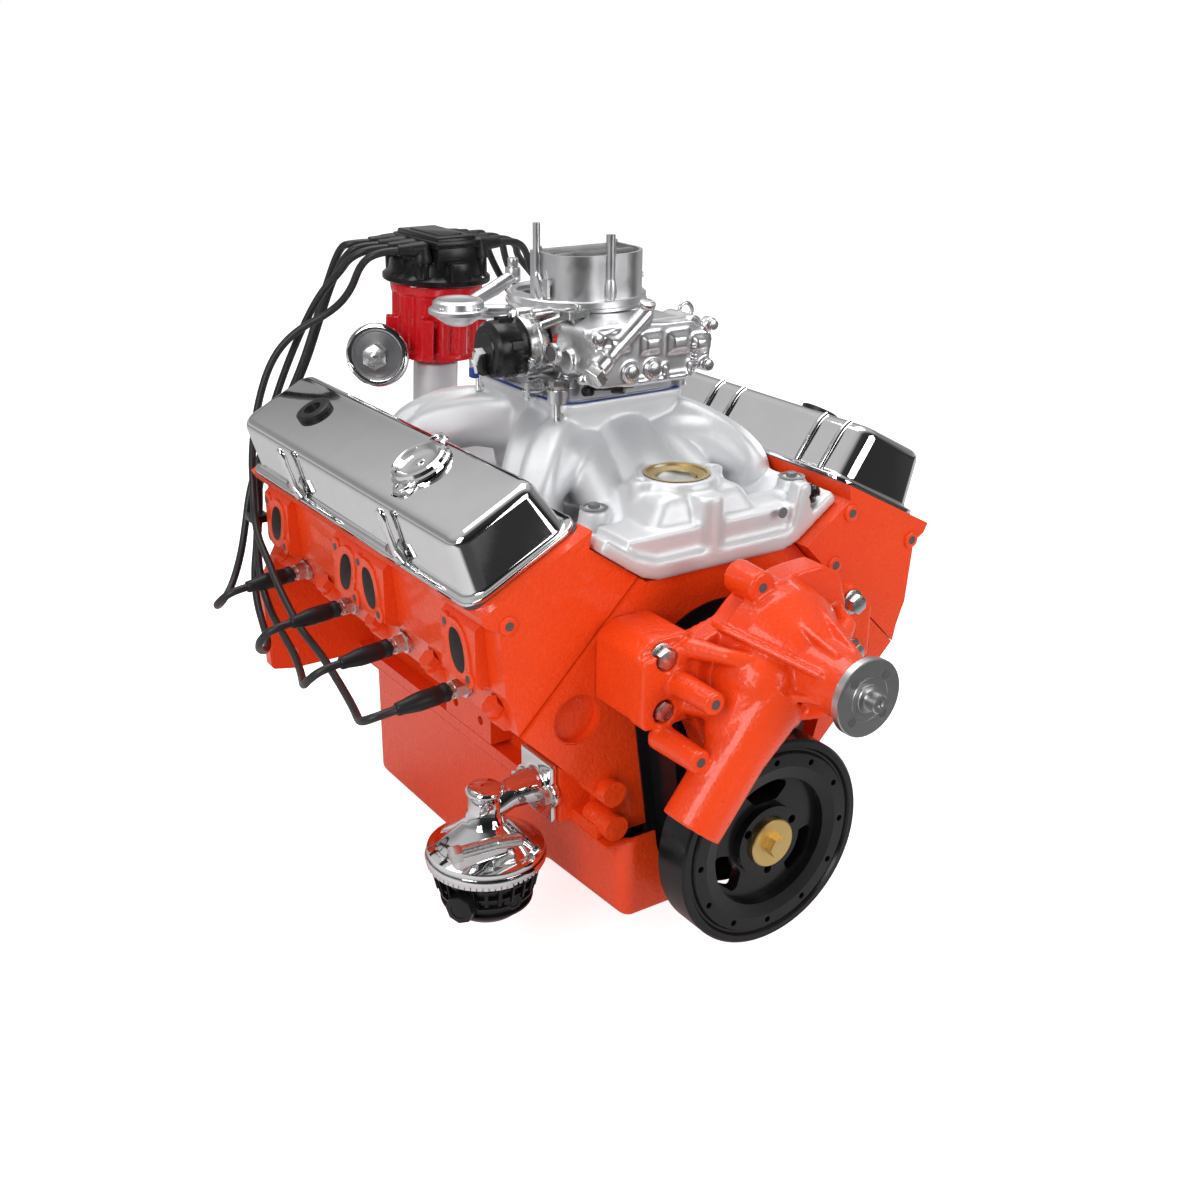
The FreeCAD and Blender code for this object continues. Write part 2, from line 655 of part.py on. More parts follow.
for side, name in ((-1, "right"), (1, "left")):
    mid = bank_centre[side]
    shape = slab([(side * x, z) for x, z in head_outline], mid - head_half, mid + head_rear)
    extras = [slab([(side * x, z) for x, z in port_flange], mid + y0, mid + y1) for y0, y1 in port_flange_y]
    for y, b, seat_a in head_bolt_spots[side]:
        extras.append(rod(11.0, at(side, min(seat_a - 18, 280), b, y), at(side, seat_a, b, y)))
    tools = [slab([(side * x, z) for x, z in recess], mid - flange_half_length + 14, mid + flange_half_length - 14, 5.0)]
    for k in cylinders:
        y = bore_y(side, k)
        start_b = roof_b + (head_deck - 1 - roof_a) / roof_slope
        wedge = slab([flat(side, head_deck - 1, start_b), flat(side, head_deck - 1, chamber_out_b),
                      flat(side, roof_a + (chamber_out_b - roof_b) * roof_slope, chamber_out_b)], y - 60, y + 60)
        tools.append(wedge.common(rod(47.0, at(side, head_deck - 1, 0, y), at(side, 280, 0, y))))
        tip = V(side * plug_x, y, plug_z)
        tools.append(rod(7.0, tip - plug_way(side) * 32, tip + plug_way(side) * 10))
        tools.append(rod(13.0, tip - plug_way(side) * 4, tip + plug_way(side) * 30))
        for kind, r in (("intake", intake_valve_r), ("exhaust", exhaust_valve_r)):
            vy = valve_y(side, k, kind)
            seat = seat_point(side, vy)
            way = valve_way[side]
            tools.append(rod(r + fit, seat - way * 2, seat + way * 5))
            tools.append(rod(r - 4, seat, seat + way * 34))
            tools.append(rod(valve_stem_r + fit, seat, seat + way * 120))
            low, high = pushrod_ends(side, vy)
            tools.append(rod(pushrod_r + 2, low, high))
    for k, y in enumerate(intake_port_y[side]):
        middle_x, middle_z = (head_low[0] + face_top[0]) / 2, (head_low[1] + face_top[1]) / 2
        inward = V(side * sin(radians(intake_angle)), 0, -cos(radians(intake_angle)))
        centre = V(side * middle_x, y, middle_z)
        bowl = seat_point(side, valve_y(side, k, "intake")) + valve_way[side] * 22
        along = V(side * cos(radians(intake_angle)), 0, sin(radians(intake_angle)))
        corners = [centre + along * u - inward * d for u, d in ((-22, 2), (22, 2), (22, -28), (-22, -28))]
        tools.append(slab([(p.x, p.z) for p in corners], y - intake_half, y + intake_half, 4.0))
        tools.append(rod(11.0, centre + inward * 20, bowl))
    for k, y in enumerate(exhaust_port_y[side]):
        tools.append(box(min(side * 205, side * 240), max(side * 205, side * 240), y - port_half_y, y + port_half_y,
                         port_z - port_half_z, port_z + port_half_z))
        bowl = seat_point(side, valve_y(side, k, "exhaust")) + valve_way[side] * 20
        tools.append(rod(13.0, V(side * 212, y, port_z), bowl))
    shape = shape.cut(tools.pop(0))
    shape = fused([shape] + extras)
    for y, b, seat_a in head_bolt_spots[side]:
        tools.append(rod(head_bolt_r + 0.5, at(side, 220, b, y), at(side, 320, b, y)))
        tools.append(rod(10.5, at(side, seat_a, b, y), at(side, seat_a + 22, b, y)))
    shape = cut(shape, tools)
    export("cylinder_head_" + name, shape)

gaskets = []
for side in sides:
    mid = bank_centre[side]
    outline = [flat(side, a, b) for a, b in ((deck_height + 0.1, valley_b - 12), (head_deck - 0.1, valley_b - 12),
                                             (head_deck - 0.1, jacket_b), (deck_height + 0.1, jacket_b))]
    shape = slab(outline, mid - head_half + 14, mid + head_rear - 3)
    tools = [rod(bore_r + 1, at(side, 200, 0, bore_y(side, k)), at(side, 260, 0, bore_y(side, k))) for k in cylinders]
    tools += [rod(6.5, at(side, 200, b, y), at(side, 260, b, y)) for y, b, seat_a in head_bolt_spots[side]]
    gaskets.append(cut(shape, tools))

# Valve gear: lifters in their bores, pushrods, rockers on studs, springs over the valve stems

lifters, pushrods, rockers, studs, valves, springs, retainers = [], [], [], [], [], [], []
floor_n = -20.0
stud_u = -14.6
spring_height = 33.0
rocker_outline = [(-45, 24.6), (-33, 24.6), (-26, 19), (-5, 19), (12, 25), (28, 26), (30, 31), (20, 36), (-32, 36),
                  (-45, 31)]
for side in sides:
    bore_way = V(side * HALF, 0, HALF)
    way = valve_way[side]
    for k in cylinders:
        for kind, r in (("intake", intake_valve_r), ("exhaust", exhaust_valve_r)):
            y = valve_y(side, k, kind)
            low, high = pushrod_ends(side, y)
            lifters.append(turned([(0, 0), (lifter_r, 0), (lifter_r, lifter_length), (6, lifter_length),
                                   (6, lifter_length - 6), (0, lifter_length - 6)], low - bore_way * lifter_length, bore_way))
            run = (high - low).normalize()
            pushrods.append(rod(pushrod_r, low - bore_way * 5.2 + run * 1.0, high - run * 0.6))
            outline = [rail_point(u, n) for u, n in rocker_outline]
            body = slab([(side * x, z) for x, z in outline], y - 9, y + 9, 3.0)
            x, z = rail_point(stud_u, floor_n)
            foot = V(side * x, y, z)
            rockers.append(body.cut(rod(6.5, foot, foot + way * 80)))
            stud = fused([rod(4.8, foot + way * 0.2, foot + way * 58), hexagon(15.0, foot + way * 0.2, foot + way * 6),
                          hexagon(14.0, foot + way * 56.4, foot + way * 66)])
            studs.append(stud)
            seat = seat_point(side, y)
            valves.append(turned([(0, 0), (r, 0), (r, 2.5), (r - 4, 5), (valve_stem_r + 1.5, 14), (valve_stem_r, 20),
                                  (valve_stem_r, valve_length), (0, valve_length)], seat, way))
            tip = seat + way * valve_length
            base = floor_n + 0.2
            depth = ((tip.x * side - rail_x) * tilt_sin + (tip.z - rail_z) * tilt_cos) - base
            foot = tip - way * depth
            springs.append(ring(spring_r, spring_r - 4.5, foot, foot + way * spring_height))
            top = foot + way * (spring_height + 0.2)
            retainers.append(turned([(valve_stem_r + fit, 0), (spring_r - 5, 0), (spring_r - 1, 2), (spring_r - 1, 5),
                                     (valve_stem_r + fit, 7)], top, way))
export("lifters_and_pushrods", lifters + pushrods)
export("rocker_arms", rockers)
export("rocker_studs", studs)
export("valves", valves + retainers)
export("valve_springs", springs)

# Head bolts: a long row under the covers and a short row below the exhaust ports

head_bolts = []
for side in sides:
    up_bore = V(side * HALF, 0, HALF)
    for y, b, seat_a in head_bolt_spots[side]:
        seat = at(side, seat_a, b, y)
        head_bolts.append(bolt(seat + up_bore * 0.1, up_bore, head_bolt_r, seat_a - bolt_end_a, 16.0, 10.0))
export("head_bolts", head_bolts)

# Valve covers: pressed steel, with a rolled lip all round

lip = 2.6


def seat_cover(shape, side):
    shape.Placement = FreeCAD.Placement(V(side * rail_x, bank_centre[side], rail_z),
                                        FreeCAD.Rotation(V(0, 1, 0), side * cover_tilt))
    return shape


def cover_body(extra, low, high, top_radius):
    """A drawn box: slightly tapered, with round corners and a round top edge."""
    base = rectangle(52.5 + extra, 226.0 + extra, low, 26.0 + extra)
    crown = rectangle(cover_top_half + extra, flange_half_length - 8 + extra, high, 24.0 + extra)
    shape = Part.makeLoft([base, crown], True, True)
    top_edges = [edge for edge in shape.Edges if edge.BoundBox.ZMin > high - 0.01]
    return shape.makeFillet(top_radius, top_edges)


filler_u, filler_y = -7.2, -89.2
vent_u, vent_y = -5.0, 130.8
left_vent_u, left_vent_y = -15.0, -128.0
filler_hole = 19.0
vent_hole = 13.0
for side, name in ((-1, "right"), (1, "left")):
    outer = cover_body(0, gasket, cover_height, 9.0)
    inner = cover_body(-sheet, gasket - 1, cover_height - sheet, 7.5)
    flange = Part.Face(rectangle(flange_half_width, flange_half_length, gasket, 12.0)).extrude(V(0, 0, lip))
    shape = outer.fuse(flange).cut(inner)
    if side == -1:
        shape = shape.cut(up(filler_hole, side * filler_u, filler_y, 20, 80))
        shape = shape.cut(up(vent_hole, side * vent_u, vent_y, 20, 80))
    else:
        shape = shape.cut(up(vent_hole, side * left_vent_u, left_vent_y, 20, 80))
    export("valve_cover_" + name, seat_cover(shape, side))
    outline = Part.Face(rectangle(flange_half_width - 0.5, flange_half_length - 0.5, 0.1, 11.5))
    inside = Part.Face(rectangle(flange_half_width - 9, flange_half_length - 5.4, 0.1, 8.0))
    gaskets.append(seat_cover(outline.cut(inside).extrude(V(0, 0, gasket - 0.2)), side))
export("gaskets", gaskets)

grommets = []
for side, u, y in ((-1, vent_u, vent_y), (1, left_vent_u, left_vent_y)):
    n = cover_height
    profile = [(9, n - 5), (vent_hole - fit, n - 5), (vent_hole - fit, n + 0.2), (18, n + 0.2), (18, n + 4),
               (15, n + 5), (9, n + 5)]
    grommet = turned(profile, V(side * u, y, 0), V(0, 0, 1))
    grommets.append(Part.makeCompound([grommet]))
    seat_cover(grommets[-1], side)
export("breather_grommets", [solid for group in grommets for solid in group.Solids])

n = cover_height + 0.3
cap = turned([(0, n - 8), (filler_hole - 1.5, n - 8), (filler_hole - 1.5, n), (27, n), (27, n + 3), (24, n + 6),
              (17, n + 7.5), (0, n + 8)], V(-filler_u, filler_y, 0), V(0, 0, 1))
wing = box(-26, 26, -3.0, 3.0, 6, 17).common(box(-26, -6, -5, 5, 0, 20).fuse(box(6, 26, -5, 5, 0, 20)))
wing.Placement = FreeCAD.Placement(V(-filler_u, filler_y, n), FreeCAD.Rotation(V(0, 0, 1), 25))
export("oil_filler_cap", seat_cover(fused([cap, wing]), -1))


# Cover hold-downs: a stud through the lip, a spreader, a wing nut outside and a tall handle on the outer side

hold_downs = []
hold_y = {-1: (-107.7, 106.0), 1: (-107.7, 106.0)}
lip_u = flange_half_width - 3.6
lip_top = gasket + lip
for side in sides:
    for y in hold_y[side]:
        for u, tall in ((side * lip_u, True), (-side * lip_u, False)):
            pieces = [rod(2.6, V(u, y, lip_top + 0.1), V(u, y, lip_top + 22)),
                      box(u - 3.4, u + 3.4, y - 20, y + 20, lip_top + 0.1, lip_top + 3),
                      hexagon(7.5, V(u, y, lip_top + 3), V(u, y, lip_top + 12)),
                      box(u - 1.2, u + 1.2, y - 14, y + 14, lip_top + 7, lip_top + 13)]
            if tall:
                top = V(u + side * 7.0, y + 24, lip_top + 58)
                pieces.append(rod(2.6, V(u, y, lip_top + 20), top))
                pieces.append(rod(2.6, top - V(0, 16, 0), top + V(0, 16, 0)))
            hold_downs.append(seat_cover(Part.makeCompound([fused(pieces)]), side))
export("cover_hold_downs", [solid for group in hold_downs for solid in group.Solids])

# Oil pan: a pressed steel tray, shallow at the front, with the sump at the rear

pan_half = 110.0
pan_front = block_front - 16
pan_rear = -15.5
pan_floor = -84.0
sump_floor = -156.0
pan_sheet = 1.8
rail_gap = -0.4


def pan_profile(inset, top):
    return [(pan_front + inset, top), (pan_front + inset, pan_floor + inset), (-386, pan_floor - 6 + inset),
            (-190, sump_floor + inset), (pan_rear - inset, sump_floor + inset), (pan_rear - inset, top)]


def pan_body(inset, top):
    half = pan_half - inset
    wire = rounded([V(-half, y, z) for y, z in pan_profile(inset, top)], [0, 8, 40, 26, 12, 0])
    shape = Part.Face(wire).extrude(V(2 * half, 0, 0))
    low_edges = [edge for edge in shape.Edges if abs(edge.BoundBox.XMin - edge.BoundBox.XMax) < 0.01
                 and edge.BoundBox.ZMax < top - 0.01]
    return shape.makeFillet(14.0 - inset, [edge for edge in low_edges if edge.BoundBox.ZMin < -80])


sump_outer = pan_body(0, rail_gap)
rail_plate = box(-rail_half, rail_half, pan_front, pan_rear, rail_gap - 2.4, rail_gap)
pan = sump_outer.fuse(rail_plate).cut(pan_body(pan_sheet, rail_gap + 1))
pan = pan.cut(cover_shell(12.0, pan_front - 1, block_front + 1))
pan = pan.cut(along_y(main_journal_r + 6, -20, -5))
export("oil_pan", pan)

# Oil pump on the rear main cap, with its pickup reaching into the sump

pump_top = on_axis(-cap_drop - 0.3)
pump_body = fused([box(pump_top.x - 22, pump_top.x + 30, main_y[-1] - 11, main_y[-1] + 11, pump_top.z - 20, pump_top.z),
                   box(pump_top.x - 32, pump_top.x + 30, -72, -24, pump_top.z - 50, pump_top.z - 19),
                   rod(9, V(pump_top.x + 16, -60, pump_top.z - 38), V(-6, -110, -122)),
                   up(32, 0, -110, -142, -130), cone(32, 12, V(0, -110, -130), V(0, -110, -118))])
pump_body = pump_body.cut(rod(6.5, on_axis(pump_top.z - 20), on_axis(pump_top.z + 2)))
export("oil_pump", pump_body)

# Intake manifold: an aluminium casting with eight runners from a raised plenum

normal = (-sin(radians(intake_angle)), cos(radians(intake_angle)))
manifold_front, manifold_rear = -506.0, -15.0
flange_thick = 13.0


def face_point(along, off):
    return (head_low[0] + along * cos(radians(intake_angle)) + off * normal[0],
            head_low[1] + along * sin(radians(intake_angle)) + off * normal[1])


base_half = [(0, china_height + 1), (70, china_height + 1), face_point(1, 1), face_point(56, 1), face_point(56, flange_thick),
             (92, 262), (70, 254), (0, 254)]
base = slab(mirrored(base_half), manifold_front, manifold_rear)
plenum = Part.makeLoft([rectangle(44, 92, 248, 18, carb_x, carb_y), rectangle(52, 78, 310, 18, carb_x, carb_y),
                        rectangle(66, 82, carb_pad_z - 8, 12, carb_x, carb_y)], True, True)
pad = Part.Face(rectangle(68, 84, carb_pad_z - 9, 10, carb_x, carb_y)).extrude(V(0, 0, 9))
runner_start_z = 318.0


def section(centre, way, half_wide, half_high):
    across = way.cross(V(0, 0, 1)).normalize()
    lift = across.cross(way).normalize()
    corners = [centre + across * u * half_wide + lift * v * half_high for u, v in ((-1, -1), (1, -1), (1, 1), (-1, 1))]
    return rounded(corners, min(half_wide, half_high) * 0.55)


runners, passages = [], []
for side in sides:
    for k, y in enumerate(intake_port_y[side]):
        x, z = face_point(face_length / 2, 1)
        port = V(side * x, y, z)
        out = V(side * sin(radians(intake_angle)), 0, -cos(radians(intake_angle)))
        start = V(carb_x + side * 30, carb_y + (k - 1.5) * 40, runner_start_z)
        knee = V(side * 84, (start.y + y) / 2, runner_start_z - 3)
        low_knee = V(side * 104, y - (y - start.y) * 0.12, 294)
        ways = [(knee - start), (low_knee - start), (port - knee), out]
        spots = [start, knee, low_knee, port - out * 2]
        wires = [section(spot, V(way.x, way.y, way.z), w, h) for spot, way, (w, h) in
                 zip(spots, ways, ((17, 22), (17, 20), (17, 21), (16, 27)))]
        runners.append(Part.makeLoft(wires, True, False))
neck = up(37, thermostat_x, thermostat_y, 250, thermostat_z)
neck_ears = fused([up(11, thermostat_x + d, thermostat_y, 262, thermostat_z) for d in (-38, 38)])
crossover = box(-98, 98, manifold_front + 6, manifold_front + 54, 250, 276)
front_post = rod(14, V(thermostat_x, manifold_front + 14, 250), V(thermostat_x, manifold_front + 14, 300))
distributor_boss = rod(24, on_axis(250), on_axis(334))
ear = slab([(76, 245), (100, 262), (98, 296), (84, 296)], manifold_front, manifold_front + 16, 5.0)
manifold = fused([base, plenum, pad, neck, neck_ears, crossover, front_post, distributor_boss, ear] + runners)
barrels = [(sx * barrel_x, sy * barrel_y, primary_r if sy < 0 else secondary_r) for sy in (-1, 1) for sx in (-1, 1)]
tools = [slab([(-62, 230), (62, 230), (62, china_height + 9), (-62, china_height + 9)], manifold_front + 26, manifold_rear - 26),
         up(thermostat_r + 1.5, thermostat_x, thermostat_y, thermostat_z - 5, thermostat_z + 1),
         up(thermostat_r - 3, thermostat_x, thermostat_y, 262, thermostat_z + 1),
         rod(15.5, on_axis(220), on_axis(340)),
         up(4.0, thermostat_x - 38, thermostat_y, 280, 320), up(4.0, thermostat_x + 38, thermostat_y, 280, 320)]
tools += [up(r, carb_x + x, carb_y + y, 290, carb_pad_z + 1) for x, y, r in barrels]
stud_spots = [(-65.5, -71.0), (65.5, -71.0), (-65.5, 71.0), (65.5, 71.0)]
manifold = manifold.cut(Part.makeCompound([up(4.2, carb_x + x, carb_y + y, carb_pad_z - 20, carb_pad_z + 1) for x, y in stud_spots]))
bolt_y = [-197.0, -62.0, 62.0, 197.0]
intake_bolts = []
bolt_tools = []
for side in sides:
    up_face = V(-side * sin(radians(intake_angle)), 0, cos(radians(intake_angle)))
    for y in (bank_centre[side] + d for d in bolt_y):
        x, z = face_point(8.0, flange_thick)
        seat = V(side * x, y, z)
        bolt_tools.append(rod(5.2, seat - up_face * 20, seat + up_face * 2))
        bolt_tools.append(rod(9.5, seat, seat + up_face * 16))
        intake_bolts.append(bolt(seat + up_face * 0.1, up_face, 4.7, flange_thick - 2.0, 14.0, 8.0))
manifold = cut(manifold, tools)
manifold = manifold.cut(Part.makeCompound(bolt_tools))
export("intake_manifold", manifold)

thermostat = turned([(19, 0), (thermostat_r + 1.5 - fit, 0), (thermostat_r + 1.5 - fit, 3.4), (24, 3.4), (19, 1.5)],
                    V(thermostat_x, thermostat_y, thermostat_z - 5 + 0.1), V(0, 0, 1))
bridge = box(thermostat_x - 21, thermostat_x + 21, thermostat_y - 4, thermostat_y + 4, thermostat_z - 16, thermostat_z - 13)
legs = [box(thermostat_x + d - 1.5, thermostat_x + d + 1.5, thermostat_y - 4, thermostat_y + 4, thermostat_z - 16,
            thermostat_z - 3) for d in (-20, 20)]
valve_disc = up(18.5, thermostat_x, thermostat_y, thermostat_z - 13.5, thermostat_z - 10)
export("thermostat", fused([thermostat, bridge, valve_disc] + legs))

# Carburettor: throttle body, main body with the air horn, front bowl, dome, choke and its moving plates

throttle_z = carb_pad_z + 8.0
body_low = carb_pad_z + 18.0
base_plate = Part.Face(rectangle(58, 76, carb_pad_z + 0.6, 12, carb_x, carb_y)).extrude(V(0, 0, 16.9))
feet = [up(10, carb_x + x, carb_y + y, carb_pad_z + 0.6, carb_pad_z + 12) for x, y in stud_spots]
arms = [Part.makeBox(20, 20, 11.4, V(carb_x + x * 0.85 - 10, carb_y + y * 0.93 - 10, carb_pad_z + 0.6)) for x, y in stud_spots]
base_plate = fused([base_plate] + feet + arms)
primary_y, secondary_y = carb_y - barrel_y, carb_y + barrel_y
shaft_r = 4.7
tools = [up(r, carb_x + x, carb_y + y, carb_pad_z, carb_pad_z + 30) for x, y, r in barrels]
tools += [rod(shaft_r + fit, V(carb_x - 90, y, throttle_z), V(carb_x + 90, y, throttle_z)) for y in (primary_y, secondary_y)]
tools += [up(4.3, carb_x + x, carb_y + y, carb_pad_z, carb_pad_z + 30) for x, y in stud_spots]
export("throttle_body", base_plate.cut(Part.makeCompound(tools)))

carb_studs = []
for x, y in stud_spots:
    foot = V(carb_x + x, carb_y + y, carb_pad_z - 18)
    carb_studs.append(fused([rod(4.1, foot, foot + V(0, 0, 39.5)), hexagon(13.0, foot + V(0, 0, 30.2), foot + V(0, 0, 38))]))
export("carburettor_studs", carb_studs)

horn_low = horn_z - 8.0
main = fused([Part.makeLoft([rectangle(50, 60, body_low, 10, carb_x, carb_y), rectangle(54, 58, 404, 14, carb_x, carb_y),
                             rectangle(50, 52, horn_low, 20, carb_x, carb_y)], True, True),
              up(horn_r, carb_x, carb_y, horn_low, horn_z), up(horn_r - 6, carb_x, carb_y, horn_low - 5, horn_low)])
tower_outline = [(carb_x - 49, carb_y + 4), (carb_x - 49, carb_y - 60), (carb_x + 49, carb_y - 60), (carb_x + 49, carb_y + 4)]
tower_top = 482.0
tower_wall = 3.2
tower = plate(tower_outline, horn_z, tower_top, [2, 34, 34, 2])
tower_inner = plate([(carb_x - 49 + tower_wall, carb_y + 4 - tower_wall), (carb_x - 49 + tower_wall, carb_y - 60 + tower_wall),
                     (carb_x + 49 - tower_wall, carb_y - 60 + tower_wall), (carb_x + 49 - tower_wall, carb_y + 4 - tower_wall)],
                    horn_z - 4, tower_top + 1, [1, 31, 31, 1])
rear_well = plate([(carb_x - 46, carb_y + 5), (carb_x + 46, carb_y + 5), (carb_x + 46, carb_y + 48), (carb_x - 46, carb_y + 48)],
                  horn_z - 4, horn_z + 1, [2, 2, 18, 18])
choke_y, choke_z = carb_y - 30.0, 456.0
main = fused([main, tower]).cut(tower_inner)
tools = [up(r, carb_x + x, carb_y + y, body_low - 1, horn_z + 1) for x, y, r in barrels]
tools += [rear_well, rod(3.0 + fit, V(carb_x - 60, choke_y, choke_z), V(carb_x + 60, choke_y, choke_z))]
main = cut(main, tools)
vents = [up(3.4, -57.0, carb_y - 12, horn_z - 2, 508), up(4.2, -9.0, carb_y - 60.4, horn_z - 4, 500)]
main = fused([main] + vents)
export("carburettor_body", main)

bowl_back = carb_y - 60.3
bowl_outline = [(-70, 392), (-58, 379), (34, 379), (60, 390), (64, 414), (40, 430), (-30, 432), (-62, 426)]
bowl = slab([(carb_x + x + 4, z) for x, z in bowl_outline], bowl_back - 62, bowl_back, 8.0)
duct = rod(7.5, V(carb_x - 54, bowl_back - 64, 404), V(carb_x - 4, bowl_back - 60, 442))
duct_end = rod(10, V(carb_x - 62, bowl_back - 64.6, 398), V(carb_x - 51, bowl_back - 63.8, 406.3))
bosses = [rod(8, V(carb_x + x, bowl_back - 66, 391), V(carb_x + x, bowl_back - 50, 391)) for x in (-24, 0)]
sight = rod(11, V(carb_x - 68, bowl_back - 26, 398), V(carb_x - 40, bowl_back - 26, 398))
inlet = rod(9, V(carb_x + 48, bowl_back - 60, 424), V(carb_x + 48, bowl_back - 20, 424))
bowl = fused([bowl, duct, duct_end, sight, inlet] + bosses)
bowl = bowl.cut(Part.Face(rectangle(40, 22, 384, 6, carb_x, bowl_back - 30)).extrude(V(0, 0, 34)))
export("fuel_bowl", bowl)

dome_centre = V(-104.0, -228.0, 424.0)
dome = turned([(0, -14), (9, -14), (16, -8), (28, -2), (28, 3), (25, 4), (22, 9), (12, 12), (0, 13)], dome_centre, V(0, 0, 1))
dome_arm = box(dome_centre.x + 18, carb_x - 53.2, dome_centre.y - 10, dome_centre.y + 10, 412, 424)
export("secondary_diaphragm", fused([dome, dome_arm]))

choke_centre = V(0, -304.0, 402.0)
choke_pod = turned([(0, 0), (18, 0), (25, 5), (26, 20), (26, 32), (28, 32), (28, 52), (18, 59.8), (0, 59.8)],
                   V(-120, choke_centre.y, choke_centre.z), V(1, 0, 0))
export("choke_housing", choke_pod)

choke_shaft = rod(3.0, V(carb_x - 54, choke_y, choke_z), V(carb_x + 54, choke_y, choke_z))
flap_half, flap_low, flap_high = 43.0, 13.0, 26.0
choke_flap = slab([(carb_x - flap_half, choke_z - flap_low), (carb_x + flap_half, choke_z - flap_low),
                   (carb_x + flap_half, choke_z + flap_high), (carb_x - flap_half, choke_z + flap_high)],
                  choke_y - 0.8, choke_y + 0.8, [12.8, 12.8, 3.0, 3.0])
choke_lever = Part.makeBox(3, 9, 16.5, V(carb_x - 54, choke_y - 4.5, choke_z - 12.5))
export("choke_plate", fused([choke_shaft, choke_flap, choke_lever]))


def throttle(y, plate_r, lever_side):
    shaft = rod(shaft_r, V(carb_x - 66, y, throttle_z), V(carb_x + 66, y, throttle_z))
    discs = [up(plate_r - 0.3, carb_x + sx * barrel_x, y, throttle_z - 0.8, throttle_z + 0.8) for sx in (-1, 1)]
    x = carb_x + lever_side * 62
    lever = fused([rod(7.4, V(x, y, throttle_z), V(x + lever_side * 3, y, throttle_z)),
                   Part.makeBox(3, 10, 26, V(min(x, x + lever_side * 3), y - 5, throttle_z))])
    return fused([shaft, lever] + discs)


export("primary_throttle", throttle(primary_y, primary_r, 1))
export("secondary_throttle", throttle(secondary_y, secondary_r, -1))

# Distributor: a fluted red housing on the manifold boss, its shaft driven by the camshaft gear

body_top_z = 419.0
house = turned([(6.6, 0), (15.0, 0), (15.0, 133.4), (26, 133.4), (26, 137), (30, 139), (distributor_body_r, 140),
                (distributor_body_r, 218), (36, 218), (36, 146), (6.6, 146)], on_axis(201), axis_way)
flutes = []
for k in range(16):
    turn = 2 * pi * (k + 0.5) / 16
    foot = on_axis(344) + V((distributor_body_r + 2.5) * cos(turn), (distributor_body_r + 2.5) * sin(turn), 0)
    flutes.append(rod(4.2, foot, foot + axis_way * 80))
export("distributor_body", house.cut(Part.makeCompound(flutes)))

spindle = fused([rod(6.0, on_axis(88), on_axis(438)), rod(drive_gear_r, on_axis(107), on_axis(125)),
                 rod(20, on_axis(421), on_axis(426)), rod(10, on_axis(426), on_axis(437)),
                 Part.makeBox(10, 36, 4, V(on_axis(436).x - 5, on_axis(436).y - 8, 436))])
drive = rod(5.2, on_axis(pump_top.z - 18), on_axis(90))
export("distributor_shaft", fused([spindle, drive]))

cap_base = body_top_z + 0.6
cap_top = 450.0
tower_r, tower_x, tower_pitch = 8.0, 33.0, 22.0
towers = []
tower_spots = []
for side in sides:
    for k in range(4):
        spot = on_axis(cap_base) + V(side * tower_x, (k - 1.5) * tower_pitch, 0)
        tower_spots.append((side, spot))
        towers.append(up(tower_r, spot.x, spot.y, cap_base + 6, cap_top))
centre = on_axis(440)
cap = turned([(0, 0), (cap_r, 0), (cap_r, 9), (45, 12), (43, 24), (0, 24)], on_axis(cap_base), axis_way)
coil_half_x, coil_half_y = 21.5, 42.0
coil_cover = plate([(centre.x - coil_half_x, centre.y - coil_half_y), (centre.x + coil_half_x, centre.y - coil_half_y),
                    (centre.x + coil_half_x, centre.y + coil_half_y), (centre.x - coil_half_x, centre.y + coil_half_y)],
                   438, 470, 6.0)
cap = fused([cap, coil_cover] + towers)
cap = cap.cut(turned([(0, -1), (41, -1), (41, 9), (36, 22), (0, 22)], on_axis(cap_base), axis_way))
export("distributor_cap", cap)

advance_way = V(-0.62, -0.78, 0.05).normalize()
advance_centre = V(-106.0, -55.0, 349.0)
advance = turned([(0, -16), (9, -16), (27, -6), (33, -2), (33, 2), (24, 3), (16, 8), (10, 8.2), (10, 16), (5, 16), (5, 26), (0, 26)],
                 advance_centre, advance_way)
arm_end = on_axis(348) + V(-distributor_body_r - 2.5, 6, 0)
advance_arm = rod(5.0, advance_centre - advance_way * 12, arm_end)
export("vacuum_advance", fused([advance, advance_arm]))

# Spark plugs, and the rubber boots at both ends of the wires

plugs, boots = [], []
for side in sides:
    way = plug_way(side)
    for k in cylinders:
        tip = V(side * plug_x, bore_y(side, k), plug_z)
        plug = turned([(0, -21), (6.9, -19), (6.9, -4.0), (10.5, -3.5), (10.5, 0), (0, 0)], tip, way)
        nut = hexagon(15.9, tip, tip + way * 10)
        neck = turned([(0, 10), (7.0, 10), (7.0, 13), (4.9, 15), (4.9, 40), (3.0, 40), (3.0, 48), (0, 48)], tip, way)
        plugs.append(fused([plug, nut, neck]))
        boots.append(turned([(5.1, 15.2), (boot_r, 15.2), (boot_r, 30), (boot_r - 0.8, 44), (6.2, 60), (6.2, boot_length), (0, boot_length),
                             (0, 50), (5.1, 50)], tip, way))
export("spark_plugs", plugs)

